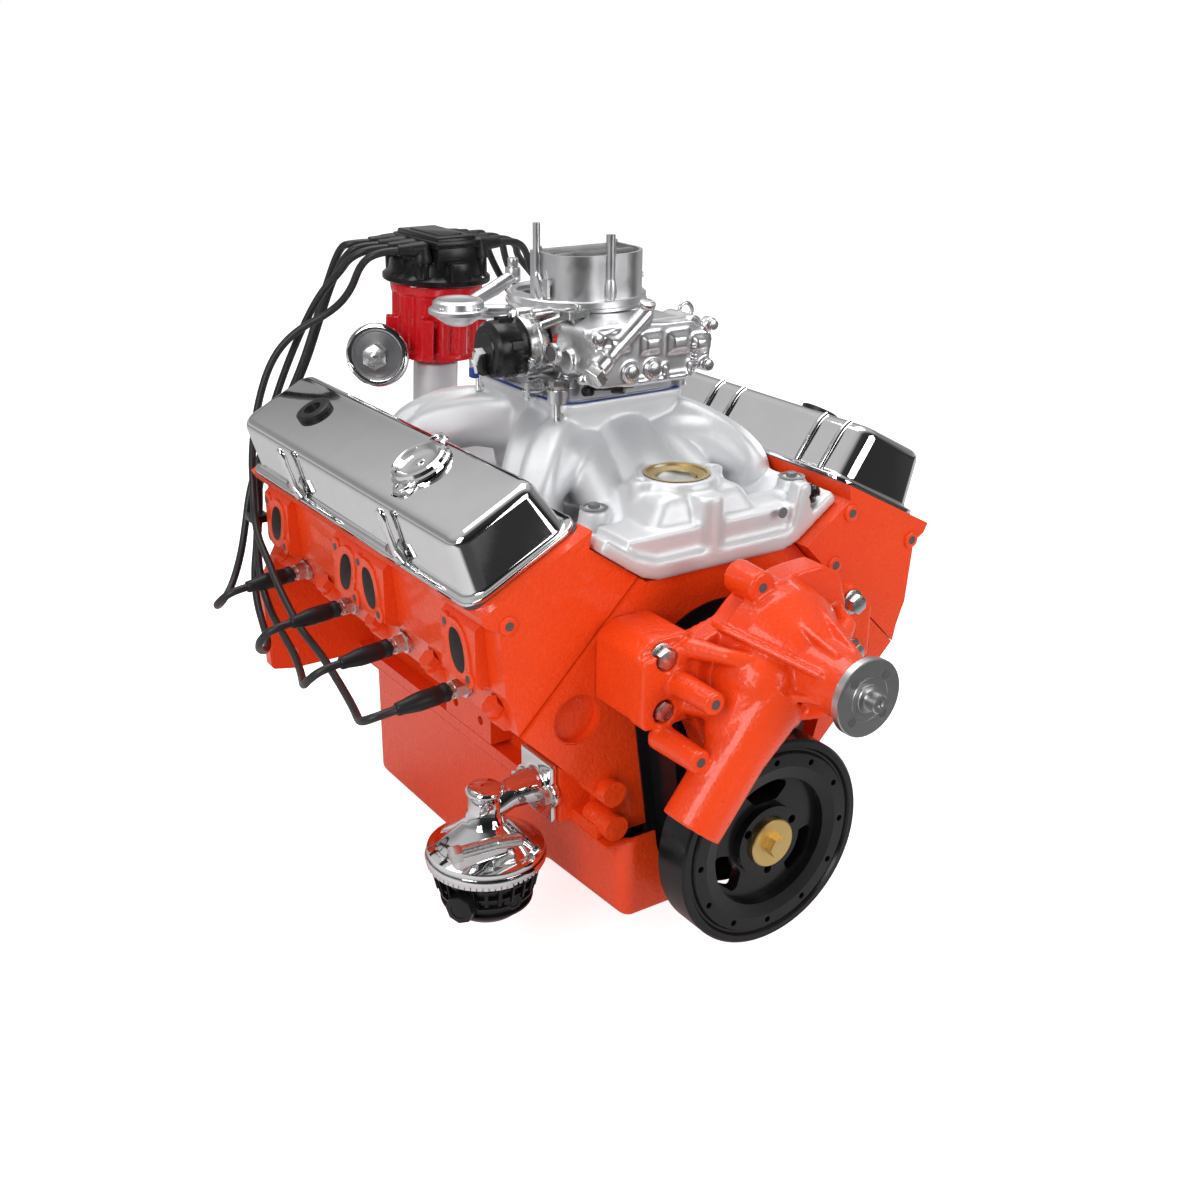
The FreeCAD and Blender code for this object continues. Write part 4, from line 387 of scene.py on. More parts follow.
orange = (0.80, 0.062, 0.007)
finishes = {
    "engine_paint": enamel("engine_paint", orange, (0.74, 0.046, 0.005)),
    "chrome_plate": plated("chrome_plate", (0.86, 0.86, 0.87), 0.03, 0.03),
    "cast_aluminium": cast("cast_aluminium", (0.80, 0.81, 0.82), (0.66, 0.67, 0.69), 0.36, 0.0012, 0.00025,
                           metallic=0.6),
    "bright_aluminium": cast("bright_aluminium", (0.82, 0.82, 0.83), (0.70, 0.70, 0.72), 0.2, 0.02, 0.00003),
    "machined_steel": plated("machined_steel", (0.60, 0.60, 0.60), 0.24, 0.1, stretch=(1, 14, 1)),
    "forged_steel": plated("forged_steel", (0.34, 0.34, 0.35), 0.3, 0.2, depth=0.0001),
    "zinc_plate": plated("zinc_plate", (0.70, 0.71, 0.70), 0.16, 0.12),
    "cast_iron": cast("cast_iron", (0.17, 0.16, 0.155), (0.09, 0.085, 0.08), 0.5, 0.0015, 0.0004,
                      metallic=0.6),
    "black_paint": moulded("black_paint", (0.004, 0.004, 0.005), (0.009, 0.009, 0.010), 0.14, 0.00003),
    "yellow_zinc": plated("yellow_zinc", (0.78, 0.56, 0.22), 0.2, 0.14),
    "brass": plated("brass", (0.70, 0.55, 0.28), 0.26, 0.16),
    "red_anodised": enamel("red_anodised", (0.66, 0.006, 0.012), (0.56, 0.005, 0.010), roughness=0.14,
                           depth=0.0001),
    "black_plastic": moulded("black_plastic", (0.005, 0.005, 0.006), (0.010, 0.010, 0.011), 0.16, 0.00003),
    "black_rubber": moulded("black_rubber", (0.007, 0.007, 0.008), (0.015, 0.015, 0.016), 0.3),
    "wire_jacket": wire_jacket,
    "gasket_sheet": moulded("gasket_sheet", (0.05, 0.05, 0.055), (0.10, 0.10, 0.11), 0.6),
    "piston_alloy": plated("piston_alloy", (0.66, 0.66, 0.67), 0.25, 0.1)}

for row in frame["record"]["subparts"]:
    for slot in frame["nodes"][row["node"]].material_slots:
        slot.material = finishes[row["material_slot"]]


# Mesh tools: pieces are modelled in millimetres with the origin at the crank, as the CAD is, and
# finished() turns them into metres, smooths them and puts them on their body. The near side is -X.
frontward, nearward, farward = (0, -1, 0), (-1, 0, 0), (1, 0, 0)
weld = 0.01


def finished(name, mesh, finish, body="engine", smooth=38, replaces=()):
    bmesh.ops.remove_doubles(mesh, verts=mesh.verts, dist=weld)
    bmesh.ops.recalc_face_normals(mesh, faces=mesh.faces)
    bmesh.ops.scale(mesh, vec=(mm, mm, mm), verts=mesh.verts)
    data = bpy.data.meshes.new(name)
    mesh.to_mesh(data)
    mesh.free()
    data.shade_smooth()
    data.set_sharp_from_angle(angle=radians(smooth))
    data.materials.append(finishes[finish])
    piece = bpy.data.objects.new(name, data)
    scene.collection.objects.link(piece)
    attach(piece, body)
    if replaces:
        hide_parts(*replaces)
    return piece


def stand(point, way=(0, 0, 1), spin=0.0):
    """A frame at the point with its Z along the way."""
    turned = Vector(way).to_track_quat("Z", "Y").to_matrix().to_4x4()
    return Matrix.Translation(point) @ turned @ Matrix.Rotation(radians(spin), 4, "Z")


def soften(mesh, edges, size, segments=2):
    bmesh.ops.bevel(mesh, geom=list(edges), offset=size, offset_type="OFFSET", affect="EDGES",
                    segments=segments, profile=0.5, material=-1)


def drum(mesh, place, radius, length, tip=None, sides=32, soft=0.0):
    """A round or many-sided peg standing on the place, with softened rims."""
    middle = place @ Matrix.Translation((0, 0, length / 2))
    made = bmesh.ops.create_cone(mesh, cap_ends=True, segments=sides, radius1=radius, depth=length,
                                 radius2=radius if tip is None else tip, matrix=middle)
    if soft:
        caps = {face for vert in made["verts"] for face in vert.link_faces
                if len(face.verts) > 4 or sides == 4}
        soften(mesh, {edge for face in caps for edge in face.edges}, soft)


def block(mesh, place, size, soft=0.0, top=(1.0, 1.0), segments=2):
    """A block standing on the place, tapered towards its top, with softened edges."""
    made = bmesh.ops.create_cube(mesh, size=1.0)
    for vert in made["verts"]:
        share = top if vert.co.z > 0 else (1.0, 1.0)
        vert.co = place @ Vector((vert.co.x * size[0] * share[0], vert.co.y * size[1] * share[1],
                                  (vert.co.z + 0.5) * size[2]))
    if soft:
        soften(mesh, {edge for vert in made["verts"] for edge in vert.link_edges}, soft, segments)


def lathe(mesh, place, profile, steps=48):
    """Spins a profile of radius and height round the Z of the place."""
    verts = [mesh.verts.new((radius, 0, height)) for radius, height in profile]
    edges = [mesh.edges.new(pair) for pair in zip(verts, verts[1:])]
    old = set(mesh.verts) - set(verts)
    bmesh.ops.spin(mesh, geom=verts + edges, cent=(0, 0, 0), axis=(0, 0, 1), angle=2 * pi, steps=steps,
                   use_merge=True)
    new = [vert for vert in mesh.verts if vert not in old]
    bmesh.ops.transform(mesh, matrix=place, verts=new)


def tube(mesh, points, radius, sides=10):
    """A bent rod or wire through the points."""
    line = bpy.data.curves.new("rod", "CURVE")
    line.dimensions = "3D"
    line.bevel_depth = radius
    line.bevel_resolution = sides // 2 - 2
    line.use_fill_caps = True
    line.resolution_u = 5
    spline = line.splines.new("NURBS")
    spline.points.add(len(points) - 1)
    for point, spot in zip(spline.points, points):
        point.co = (*spot, 1)
    spline.order_u = 3
    spline.use_endpoint_u = True
    holder = bpy.data.objects.new("rod", line)
    data = bpy.data.meshes.new_from_object(holder)
    mesh.from_mesh(data)
    bpy.data.objects.remove(holder)
    bpy.data.curves.remove(line)
    bpy.data.meshes.remove(data)


def copy_of(node):
    """The CAD node's shape in millimetres, to be worked into a casting or trimmed."""
    mesh = bmesh.new()
    holder = frame["nodes"][node]
    mesh.from_mesh(holder.data)
    bmesh.ops.transform(mesh, matrix=Matrix.Scale(1 / mm, 4) @ holder.matrix_world, verts=mesh.verts)
    bmesh.ops.remove_doubles(mesh, verts=mesh.verts, dist=weld)
    return mesh


mould_ease = 0.5


def cast_together(mesh, cell, rounds):
    """Joins closed lumps on a fine grid and eases the corners, as a sand mould does."""
    data = bpy.data.meshes.new("lumps")
    mesh.to_mesh(data)
    holder = bpy.data.objects.new("lumps", data)
    scene.collection.objects.link(holder)
    grid = holder.modifiers.new("grid", "REMESH")
    grid.mode = "VOXEL"
    grid.voxel_size = cell
    ease = holder.modifiers.new("ease", "SMOOTH")
    ease.factor = mould_ease
    ease.iterations = rounds
    made = bpy.data.meshes.new_from_object(holder.evaluated_get(bpy.context.evaluated_depsgraph_get()))
    mesh.clear()
    mesh.from_mesh(made)
    bpy.data.objects.remove(holder)
    bpy.data.meshes.remove(data)
    bpy.data.meshes.remove(made)


def limb(mesh, points):
    """A thick limb through the points, each given as x, y, z and radius."""
    for (*start, r0), (*end, r1) in zip(points, points[1:]):
        start, end = Vector(start), Vector(end)
        drum(mesh, stand(start, end - start), r0, (end - start).length, tip=r1, sides=24)
    for *spot, radius in points:
        bmesh.ops.create_icosphere(mesh, subdivisions=3, radius=radius, matrix=Matrix.Translation(spot))


def screw_head(mesh, point, way, radius=4.5, height=3.0):
    """A round screw head with a slot."""
    place = stand(point, way)
    drum(mesh, place, radius, height, soft=radius * 0.18, sides=20)
    block(mesh, place @ Matrix.Translation((0, 0, height - 0.4)), (radius * 1.5, radius * 0.26, 0.5))


hexagon_corner = 0.577
washer_height = 1.6


def hex_head(mesh, point, way, across=14.0, height=8.0, washer=0.0):
    """A hexagon head, with a washer face under it when one is given."""
    place = stand(point, way)
    if washer:
        drum(mesh, place, washer, washer_height, soft=0.4, sides=32)
    drum(mesh, place, across * hexagon_corner, height, soft=0.8, sides=6)


# Valve covers: pressed and chromed steel lids with a rolled lip. The near one carries the filler
# cap, and the beads on the far one's inner wall are a piece of their own.
cover_tilt = radians(27.5)
cover_foot_x, cover_foot_z = 184.8, 263.2
cover_base = (52.5, 226.0)
cover_lid = (43.8, 223.5)
cover_height = 57.6
lip_reach = (59.7, 231.5)
lip_top, lip_foot = 5.2, 1.3
corner_round, top_round, sheet = 17.0, 8.5, 1.2
bead_places = (-196, -164, -42, -8, 96, 128)
bead_line = ((-52.4, 6), (-50.6, 20), (-45.8, 50), (-40, 56))
bead_radius = 3.4


def cover_place(side, u=0.0, y=0.0, n=0.0):
    foot = Matrix.Translation((side * cover_foot_x, bank_middle[side] / mm, cover_foot_z))
    return foot @ Matrix.Rotation(side * cover_tilt, 4, "Y") @ Matrix.Translation((u, y, n))


def valve_cover(side, name, node):
    mesh = bmesh.new()
    for vert in bmesh.ops.create_cube(mesh, size=2.0)["verts"]:
        half = cover_lid if vert.co.z > 0 else cover_base
        vert.co = Vector((vert.co.x * half[0], vert.co.y * half[1],
                          cover_height if vert.co.z > 0 else lip_top))
    soften(mesh, [edge for edge in mesh.edges if abs(edge.verts[0].co.z - edge.verts[1].co.z) > 1],
           corner_round, 7)
    top = [face for face in mesh.faces if all(vert.co.z > cover_height - 1 for vert in face.verts)]
    soften(mesh, {edge for face in top for edge in face.edges}, top_round, 6)
    floor_faces = [face for face in mesh.faces if all(vert.co.z < lip_top + 1 for vert in face.verts)]
    bmesh.ops.delete(mesh, geom=floor_faces, context="FACES_ONLY")
    rim = [edge for edge in mesh.edges if edge.is_boundary]
    grown = bmesh.ops.extrude_edge_only(mesh, edges=rim)["geom"]
    verts = [part for part in grown if isinstance(part, bmesh.types.BMVert)]
    bmesh.ops.scale(mesh, vec=(lip_reach[0] / cover_base[0], lip_reach[1] / cover_base[1], 1), verts=verts)
    soften(mesh, rim, 3.0, 3)
    rim = [edge for edge in mesh.edges if edge.is_boundary]
    grown = bmesh.ops.extrude_edge_only(mesh, edges=rim)["geom"]
    verts = [part for part in grown if isinstance(part, bmesh.types.BMVert)]
    bmesh.ops.translate(mesh, vec=(0, 0, lip_foot - lip_top), verts=verts)
    soften(mesh, rim, 1.6, 3)
    bmesh.ops.recalc_face_normals(mesh, faces=mesh.faces)
    bmesh.ops.solidify(mesh, geom=list(mesh.faces), thickness=sheet)
    bmesh.ops.transform(mesh, matrix=cover_place(side), verts=mesh.verts)
    return finished(name, mesh, "chrome_plate", replaces=(node,))


valve_cover(-1, "near_cover", "valve_cover_right")
valve_cover(1, "far_cover", "valve_cover_left")

mesh = bmesh.new()
for y in bead_places:
    place = cover_place(1)
    tube(mesh, [place @ Vector((u, y, n)) for u, n in bead_line], bead_radius)
finished("cover_beads", mesh, "chrome_plate")

# Filler cap: a spun and chromed bayonet cap with a rolled rim, a dished top and two folded ears.
# It turns on the near cover.
filler_u, filler_y = 7.2, -89.2
ear_angle = 28.0
mesh = bmesh.new()
cap_place = cover_place(-1, filler_u, filler_y, cover_height)
lathe(mesh, cap_place, [(0, 5.8), (3.6, 5.4), (4.6, 4.0), (15, 3.4), (18.5, 4.6), (20.6, 7.6), (23.2, 9.0),
                        (25.6, 7.8), (26.6, 4.6), (28.6, 3.4), (29, 1.6), (28.2, 0.5), (0, 0.5)])
ear_wire = ((27, 10, 2), (33, 9, 3.4), (39.5, 3, 4), (39.5, -3, 4), (33, -9, 3.4), (27, -10, 2))
for turned in (0, 180):
    ear = cap_place @ Matrix.Rotation(radians(ear_angle + turned), 4, "Z")
    block(mesh, ear @ Matrix.Translation((31, 0, 0.8)), (15, 18, 2.4), soft=1.0, top=(1.0, 0.7), segments=3)
    tube(mesh, [ear @ Vector(spot) for spot in ear_wire], 1.7)
finished("filler_lid", mesh, "chrome_plate", body="filler_cap", replaces=("oil_filler_cap",))

# Intake manifold: a satin sand casting. Eight fat runners leave a square plenum under the
# carburettor, and the water crossover with its neck lies in front of it.
carb = Vector((-6.0, -279.0, 358.0))
port_steps = (-126.8, -96.8, 96.8, 126.8)
runner_step = 44
small_bolts = ((-86, -430, 262), (112, -462, 266))
bolt_boss_height = 22
mesh = copy_of("intake_manifold")
for side in (-1, 1):
    for k, step in enumerate(port_steps):
        begin, end = carb.y + (k - 1.5) * runner_step, bank_middle[side] / mm + step
        limb(mesh, [(carb.x + side * 30, begin, 308, 25), (side * 76, (begin + end) / 2, 308, 24),
                    (side * 101, end + (begin - end) * 0.1, 290, 20), (side * 112, end, 268, 17)])
block(mesh, Matrix.Translation((carb.x, carb.y, 256)), (104, 146, 76), top=(1.2, 1.08), soft=12, segments=3)
limb(mesh, [(carb.x, -352, 300, 40), (-8, -400, 278, 36), (-10, -447, 258, 30)])
limb(mesh, [(-44, -350, 300, 30), (-66, -440, 262, 16)])
limb(mesh, [(34, -350, 300, 30), (56, -440, 262, 16)])
block(mesh, Matrix.Translation((-8, -450, 252)), (150, 96, 48), top=(0.58, 0.72), soft=8, segments=2)
block(mesh, Matrix.Translation((60, -478, 256)), (74, 44, 22), top=(0.7, 0.6), soft=6, segments=2)
for spot in small_bolts:
    drum(mesh, Matrix.Translation(spot), 15, bolt_boss_height, tip=13, sides=28)
cast_together(mesh, 2.5, 6)
finished("intake_casting", mesh, "cast_aluminium", smooth=80, replaces=("intake_manifold",))

mesh = bmesh.new()
lathe(mesh, Matrix.Translation((-10, -447, 308)),
      [(24.4, -5), (27.2, -5), (27.2, 0.3), (29.6, 0.5), (29.6, 0.1), (24.4, -5)])
finished("neck_ring", mesh, "brass")

mesh, bolts = bmesh.new(), bmesh.new()
drum(mesh, stand((97, -492, 280), (0.5, -0.75, 0.42)), 9.5, 12, soft=1.5, sides=24)
drum(mesh, stand((103, -501, 285), (0.5, -0.75, 0.42)), 5.2, 6, soft=1.0, sides=6)
for x, y, z in small_bolts:
    top = z + bolt_boss_height + 0.2
    lathe(bolts, Matrix.Translation((x, y, top)), [(12.6, 0.4), (9, 0.9), (8.4, -1), (0, -1)], steps=28)
    hex_head(bolts, (x, y, top - 1), (0, 0, 1), across=9, height=5)
drum(bolts, stand((64, -506.2, 274), frontward), 5, 1.2, sides=20)
finished("manifold_bolts", bolts, "forged_steel")
finished("black_plug", mesh, "black_plastic")


# Exhaust ports: oval holes in thin raised faces, each with two tapped bosses. Each port is lined in
# bare-iron colour and closed 20 mm in, the closed floor being painted shade of the port's depth,
# and each tapped hole is an iron-coloured disc, painted shade.
def side_frame(side, x, y, z):
    """A frame on a bank's outer side: its Z points outward and its Y up."""
    rows = ((0, 0, side), (side, 0, 0), (0, 1, 0))
    return Matrix.Translation((x, y, z)) @ Matrix(rows).to_4x4()


oval_steps = 36


def oval(half_wide, half_high, power=2.6, lean=0.0):
    """The points of a rounded outline: the power squares it, and the lean slants it."""
    spots = []
    for step in range(oval_steps):
        turn = 2 * pi * step / oval_steps
        u = abs(cos(turn)) ** (2 / power) * half_wide * (1 if cos(turn) > 0 else -1)
        v = abs(sin(turn)) ** (2 / power) * half_high * (1 if sin(turn) > 0 else -1)
        spots.append((u + v * lean, v))
    return spots


def skin(mesh, place, loops, close=False):
    """Joins loops of points, each given with its height, by a wall of faces."""
    rows = [[mesh.verts.new(place @ Vector((u, v, height))) for u, v in spots] for spots, height in loops]
    for low, high in zip(rows, rows[1:]):
        for a, b, c, d in zip(low, low[1:] + low[:1], high[1:] + high[:1], high):
            mesh.faces.new((a, b, c, d))
    if close:
        mesh.faces.new(rows[-1])


port_face_x, port_z = 230.2, 188
port_leans = ((-191.8, 0.22), (-25.0, 0.22), (25.0, -0.22), (191.8, -0.22))
port_bolts = ((-19, 20), (19, -20))
faces, depths = bmesh.new(), bmesh.new()
for side in (-1, 1):
    for step, lean in port_leans:
        place = side_frame(side, side * port_face_x, bank_middle[side] / mm + step, port_z)
        lean *= side
        hole = oval(12.4, 19.0, 2.3, lean)
        lip = oval(14.2, 20.8, 2.3, lean)
        face = oval(20.5, 26.5, 2.6, lean)
        root = oval(21.5, 27.5, 2.6, lean)
        skin(faces, place, [(root, -2), (face, 1.6), (lip, 1.8), (hole, 1.2), (hole, -3)])
        # Bare-iron wall of the port, closed 20 mm in: the closed floor is painted shade of the port's depth.
        skin(depths, place, [(hole, 1.0), (oval(11.6, 18.0, 2.2, lean), -20)], close=True)
        for u, v in port_bolts:
            drum(faces, place @ Matrix.Translation((u, v, -2)), 8.2, 3.8, soft=1.0, sides=24)
            # Painted shade: an iron-coloured disc stands for each tapped hole.
            drum(depths, place @ Matrix.Translation((u, v, 0.2)), 3.6, 1.8, sides=20)
finished("port_faces", faces, "engine_paint")
finished("port_shade_linings", depths, "cast_iron")

# Distributor: an anodised red housing with twelve upright lobes, a glossy black cap with its coil
# cover, and the vacuum can: a bright rim round a dark dish with a zinc hexagon.
foot = Vector((-43.0, -35.0, 0.0))
lean_way = (Vector((-28.0, -45.0, 441.0)) - foot).normalized()
lobes = 12
cap_foot = 419.6


def spindle(z):
    return foot + lean_way * (z / lean_way.z)


mesh = bmesh.new()
drum(mesh, stand(spindle(341), lean_way), 42, 78, sides=48)
drum(mesh, stand(spindle(334.4), lean_way), 26, 8, sides=32)
for turn in range(lobes):
    angle = radians(360 / lobes * turn + 12)
    out = Vector((cos(angle), sin(angle), 0))
    drum(mesh, stand(spindle(342) + out * 37.5, lean_way), 9.6, 74, sides=20)
drum(mesh, stand(spindle(408), lean_way), 48, 10.5, tip=49, sides=48)
drum(mesh, stand(spindle(341), lean_way), 48.5, 7, tip=46, sides=48)
block(mesh, stand(spindle(342) + Vector((-31, -40, 0)), lean_way), (11, 13, 44))
block(mesh, stand(spindle(350) + Vector((-49, 4, 0)), lean_way), (9, 14, 36))
block(mesh, stand(spindle(350) + Vector((46, -14, 0)), lean_way), (10, 14, 34))
cast_together(mesh, 1.3, 4)
finished("distributor_barrel", mesh, "red_anodised", smooth=80, replaces=("distributor_body",))

mesh = bmesh.new()
for angle in (215, 305):
    out = Vector((cos(radians(angle)), sin(radians(angle)), 0))
    screw_head(mesh, spindle(419) + out * 52, lean_way, radius=3.6, height=7)
finished("cap_screws", mesh, "zinc_plate")

mesh = bmesh.new()
lathe(mesh, stand(spindle(cap_foot), lean_way),
      [(0, 0), (55.6, 0), (56.6, 1), (56.6, 5.5), (55.2, 6.8), (51, 9.6), (49, 21), (46, 24), (0, 24)])
top = spindle(440)
block(mesh, Matrix.Translation((top.x, top.y, 436)), (48, 92, 27), soft=2, top=(0.94, 0.97))
block(mesh, Matrix.Translation((top.x, top.y, 457)), (52, 97, 7.5), soft=1.6)
block(mesh, Matrix.Translation((top.x, top.y, 463.6)), (46, 90, 5), soft=1.2, top=(0.95, 0.97))
block(mesh, Matrix.Translation((top.x, top.y, 468)), (28, 62, 1.6), soft=0.5)
block(mesh, Matrix.Translation((top.x - 3, top.y - 54, 424)), (24, 14, 20), soft=2.5)
boots = bmesh.new()
for side in (-1, 1):
    for k in range(4):
        tower = spindle(cap_foot) + Vector((side * tower_reach, (k - 1.5) * tower_spacing, 0)) / mm
        drum(mesh, Matrix.Translation((tower.x, tower.y, 426)), 8.4, 22, soft=1, sides=24)
        elbow = Vector((tower.x, tower.y, cap_boot_height / mm))
        reach = cap_boot_way(side) * cap_boot_length / mm
        limb(boots, [(tower.x, tower.y, 453, 8.8), (*elbow, 8.2), (*(elbow + reach * 0.4), 7.4)])
        drum(boots, stand(elbow, reach), 7.6, cap_boot_length / mm, tip=5.6, soft=0.8, sides=24)
        lathe(boots, Matrix.Translation((tower.x, tower.y, 443.5)),
              [(8.6, 0), (10.2, 0.4), (10.2, 4), (8.8, 9)], steps=28)
        lathe(boots, stand(plug_seat(side, k) / mm, plug_way(side)),
              [(5.1, 16), (5.1, 15), (8.0, 15), (8.7, 15.8), (8.7, 20), (8.1, 20.8), (8.1, 24), (8.6, 25),
               (8.6, 42), (8.1, 47), (6.6, 56), (6.4, 57), (6.0, 63.4), (5.2, 64.4), (0, 64.4)], steps=28)
finished("cap_shell", mesh, "black_plastic", replaces=("distributor_cap",))
finished("lead_boots", boots, "black_rubber", replaces=("wire_boots",))

mesh = bmesh.new()
for side, y in ((-1, -6), (1, -28)):
    block(mesh, Matrix.Translation((side * 232, y, 176)), (20, 24, 9), soft=2)
finished("lead_combs", mesh, "black_plastic")

can_way = Vector((-0.62, -0.78, 0.05)).normalized()
can = stand((-106, -55, 349), can_way)
mesh = bmesh.new()
lathe(mesh, can, [(0, -17), (9, -17), (12, -13), (26, -6), (32, -3), (33.4, 0), (32.8, 2.4), (30, 3.8),
                  (26.8, 3.2), (25.6, 1.4)])
arm_end = spindle(348) + Vector((-42, 6, 0))
tube(mesh, [can @ Vector((0, 0, -14)), can @ Vector((0, 0, -24)), arm_end], 4.6)
block(mesh, can @ Matrix.Translation((0, 0, -20)), (17, 7, 7), soft=1.4)
finished("can_rim", mesh, "chrome_plate", replaces=("vacuum_advance",))
mesh = bmesh.new()
lathe(mesh, can, [(26.2, 1.6), (24.2, 0.6), (20.5, 2.8), (14.6, 7.4), (13.8, 8.4), (0, 8.4)])
finished("can_dish", mesh, "forged_steel")
mesh = bmesh.new()
drum(mesh, can @ Matrix.Translation((0, 0, 7.6)), 13.6, 8.6, soft=0.9, sides=6)
lathe(mesh, can, [(0, 16), (6.4, 16), (5.2, 17.2), (3.4, 17.4), (3.0, 20), (4.3, 20.6), (4.3, 22),
                  (3.0, 23.4), (3.0, 24.6), (4.1, 25.2), (4.1, 26.6), (2.6, 28), (0, 28)], steps=24)
finished("can_nipple", mesh, "zinc_plate")

# Carburettor: a polished four-barrel. The front fuel bowl is a faceted casting with a rib along
# its top and foot, and its screws and fittings are zinc.
bowl_face = -401.3
bowl_corners = ((-66, 424), (-64, 387), (58, 424), (54, 388))
mesh = copy_of("fuel_bowl")
for x, z, wide, high in ((-44, 418, 34, 20), (-8, 414, 26, 24), (22, 412, 28, 26), (46, 408, 20, 22)):
    block(mesh, stand((x, bowl_face + 2, z), frontward), (wide, high, 8), top=(0.5, 0.35))
for x in (-26, 8, 36):
    block(mesh, stand((x, bowl_face + 2, 386), frontward), (5, 16, 6), top=(0.4, 0.8))
limb(mesh, [(-70, -392, 427, 4), (-24, -398, 430, 4.5), (36, -392, 429, 4.5), (60, -380, 420, 4)])
limb(mesh, [(-72, -388, 386, 4), (-30, -400, 381, 4), (30, -400, 381, 4), (60, -388, 390, 4)])
for x, z in bowl_corners:
    drum(mesh, stand((x, bowl_face + 8, z), frontward), 6.4, 11, sides=24)
cast_together(mesh, 1.25, 9)
finished("front_bowl", mesh, "bright_aluminium", smooth=80, replaces=("fuel_bowl",))

mesh = bmesh.new()
hex_head(mesh, (-65, -404, 395.6), (-0.8, -0.1, -0.6), across=19, height=9, washer=10.6)
for (x, z), radius in zip(((-30, 391), (-6, 391)) + bowl_corners, (6.2, 6.2, 4.6, 4.6, 4.6, 5.4)):
    screw_head(mesh, (x, -405.4, z), frontward, radius=radius, height=2.4)
screw_head(mesh, (-12, -400, 446), (0.0, -0.35, 0.94), radius=7.4, height=5)
drum(mesh, stand((-12, -398, 438), (0, -0.35, 0.94)), 6.0, 10, sides=24)
drum(mesh, stand((-84, -366, 407), nearward), 9.4, 5, soft=1.0, sides=24)
for x, y in ((-71.5, -350), (59.5, -350), (-71.5, -208), (59.5, -208)):
    drum(mesh, stand((x, y, 359)), 9.6, 12, soft=1.2, sides=28)
hex_head(mesh, (-71.5, -350, 371), (0, 0, 1), across=15, height=8)
tube(mesh, [(34, -378, 419), (42, -374, 424), (55, -374, 425), (59, -374, 434), (51, -374, 441),
            (42, -374, 436), (44, -374, 427)], 1.9)
finished("bowl_fittings", mesh, "zinc_plate")

# Near side of the carburettor: the secondary dome with its arm, the black choke pod with its plug,
# and its clamp ring with the brackets and levers below it.
dome = Matrix.Translation((-104, -228, 424))
dome_screws = 23.6
mesh = bmesh.new()
lathe(mesh, dome, [(0, -14), (8, -14), (13, -12), (23, -5), (25.5, -2.4), (28, -2), (28, 1.6), (26.4, 2.6),
                   (24.6, 3), (23.6, 8.4), (21, 10.4), (17, 10.8), (15.4, 9.8), (0, 9.6)])
limb(mesh, [(-84, -232, 421, 7), (-56, -244, 420, 7)])
limb(mesh, [(-80, -214, 428, 6), (-52, -206, 436, 7), (-30, -204, 446, 6)])
for angle in (20, 110, 200, 290):
    spot = Vector((dome_screws * cos(radians(angle)), dome_screws * sin(radians(angle)), 2.6))
    screw_head(mesh, dome @ spot, (0, 0, 1), radius=3, height=2.6)
drum(mesh, Matrix.Translation((-30, -204, 440)), 7.4, 14, soft=1.4, sides=28)
drum(mesh, Matrix.Translation((-30, -204, 454)), 5.4, 9, soft=1.0, sides=24)
for place, radius, length in (((-86, -300, 428), 8.2, 40), ((-92, -282, 421), 6, 46),
                              ((-78, -316, 432), 4.4, 34)):
    drum(mesh, stand(place, farward), radius, length, soft=1.2, sides=24)
finished("secondary_dome", mesh, "bright_aluminium", smooth=40, replaces=("secondary_diaphragm",))

pod = stand((-120, -304, 402), farward)
mesh = bmesh.new()
lathe(mesh, pod, [(0, 0.2), (14, 0.2), (15, 1.4), (22, 1.6), (25.2, 4.4), (26, 9), (26, 25), (24.5, 27),
                  (24.5, 33), (0, 33)])
for turn in range(5):
    angle = radians(72 * turn + 20)
    rim = pod @ Matrix.Translation((24.4 * cos(angle), 24.4 * sin(angle), 13))
    block(mesh, rim @ Matrix.Rotation(angle, 4, "Z"), (5, 9, 13), soft=1.2)
block(mesh, pod @ Matrix.Translation((4, -13, -5)), (15, 19, 8), soft=2)
tube(mesh, [(-46, -352, 369), (-40, -362, 371), (-26, -372, 371), (-10, -378, 373)], 3.4)
drum(mesh, stand((-30, -374, 371), (0.6, -0.8, 0.1)), 5.4, 12, soft=1.2, sides=20)
drum(mesh, stand((-52, -362, 368), (0.3, -0.9, 0.2)), 4.6, 9, soft=1.0, sides=20)
finished("choke_pod", mesh, "black_plastic", replaces=("choke_housing",))

mesh = bmesh.new()
lathe(mesh, pod, [(24.8, 32), (27.8, 32), (28.4, 34), (28.4, 39), (27.2, 40), (27.2, 43), (28, 44),
                  (28, 50), (24, 54), (17, 59.6), (0, 59.6)])
for turn in range(3):
    angle = radians(120 * turn + 80)
    rim = pod @ Matrix.Translation((27 * cos(angle), 27 * sin(angle), 30.4)) @ Matrix.Rotation(angle, 4, "Z")
    block(mesh, rim, (8, 9, 7), soft=1.4)
    screw_head(mesh, rim @ Vector((1.4, 0, 0)), nearward, radius=3, height=2)
for y, z in ((-287, 377), (-322, 384)):
    drum(mesh, stand((-88, y, z), farward), 5, 26, soft=1, sides=20)
block(mesh, stand((-46, -343, 371), (0, 0, 1), 12), (15, 3, 64), soft=0.8)
block(mesh, stand((-49, -342, 432), (0, 0, 1), 12), (24, 12, 4), soft=1.2)
drum(mesh, stand((-48, -346, 436), (0, 0, 1)), 3.2, 7, soft=0.6, sides=20)
limb(mesh, [(-76, -330, 424, 4), (-56, -338, 431, 4)])
tube(mesh, [(-56, -330, 380), (-60, -334, 372), (-78, -330, 364), (-92, -322, 366)], 2.2)
block(mesh, stand((-80, -322, 358), (0, 0, 1), 20), (22, 5, 14), soft=1.2)
drum(mesh, stand((-71, -306, 366), nearward), 6, 6, soft=1, sides=6)
finished("choke_ring", mesh, "zinc_plate")
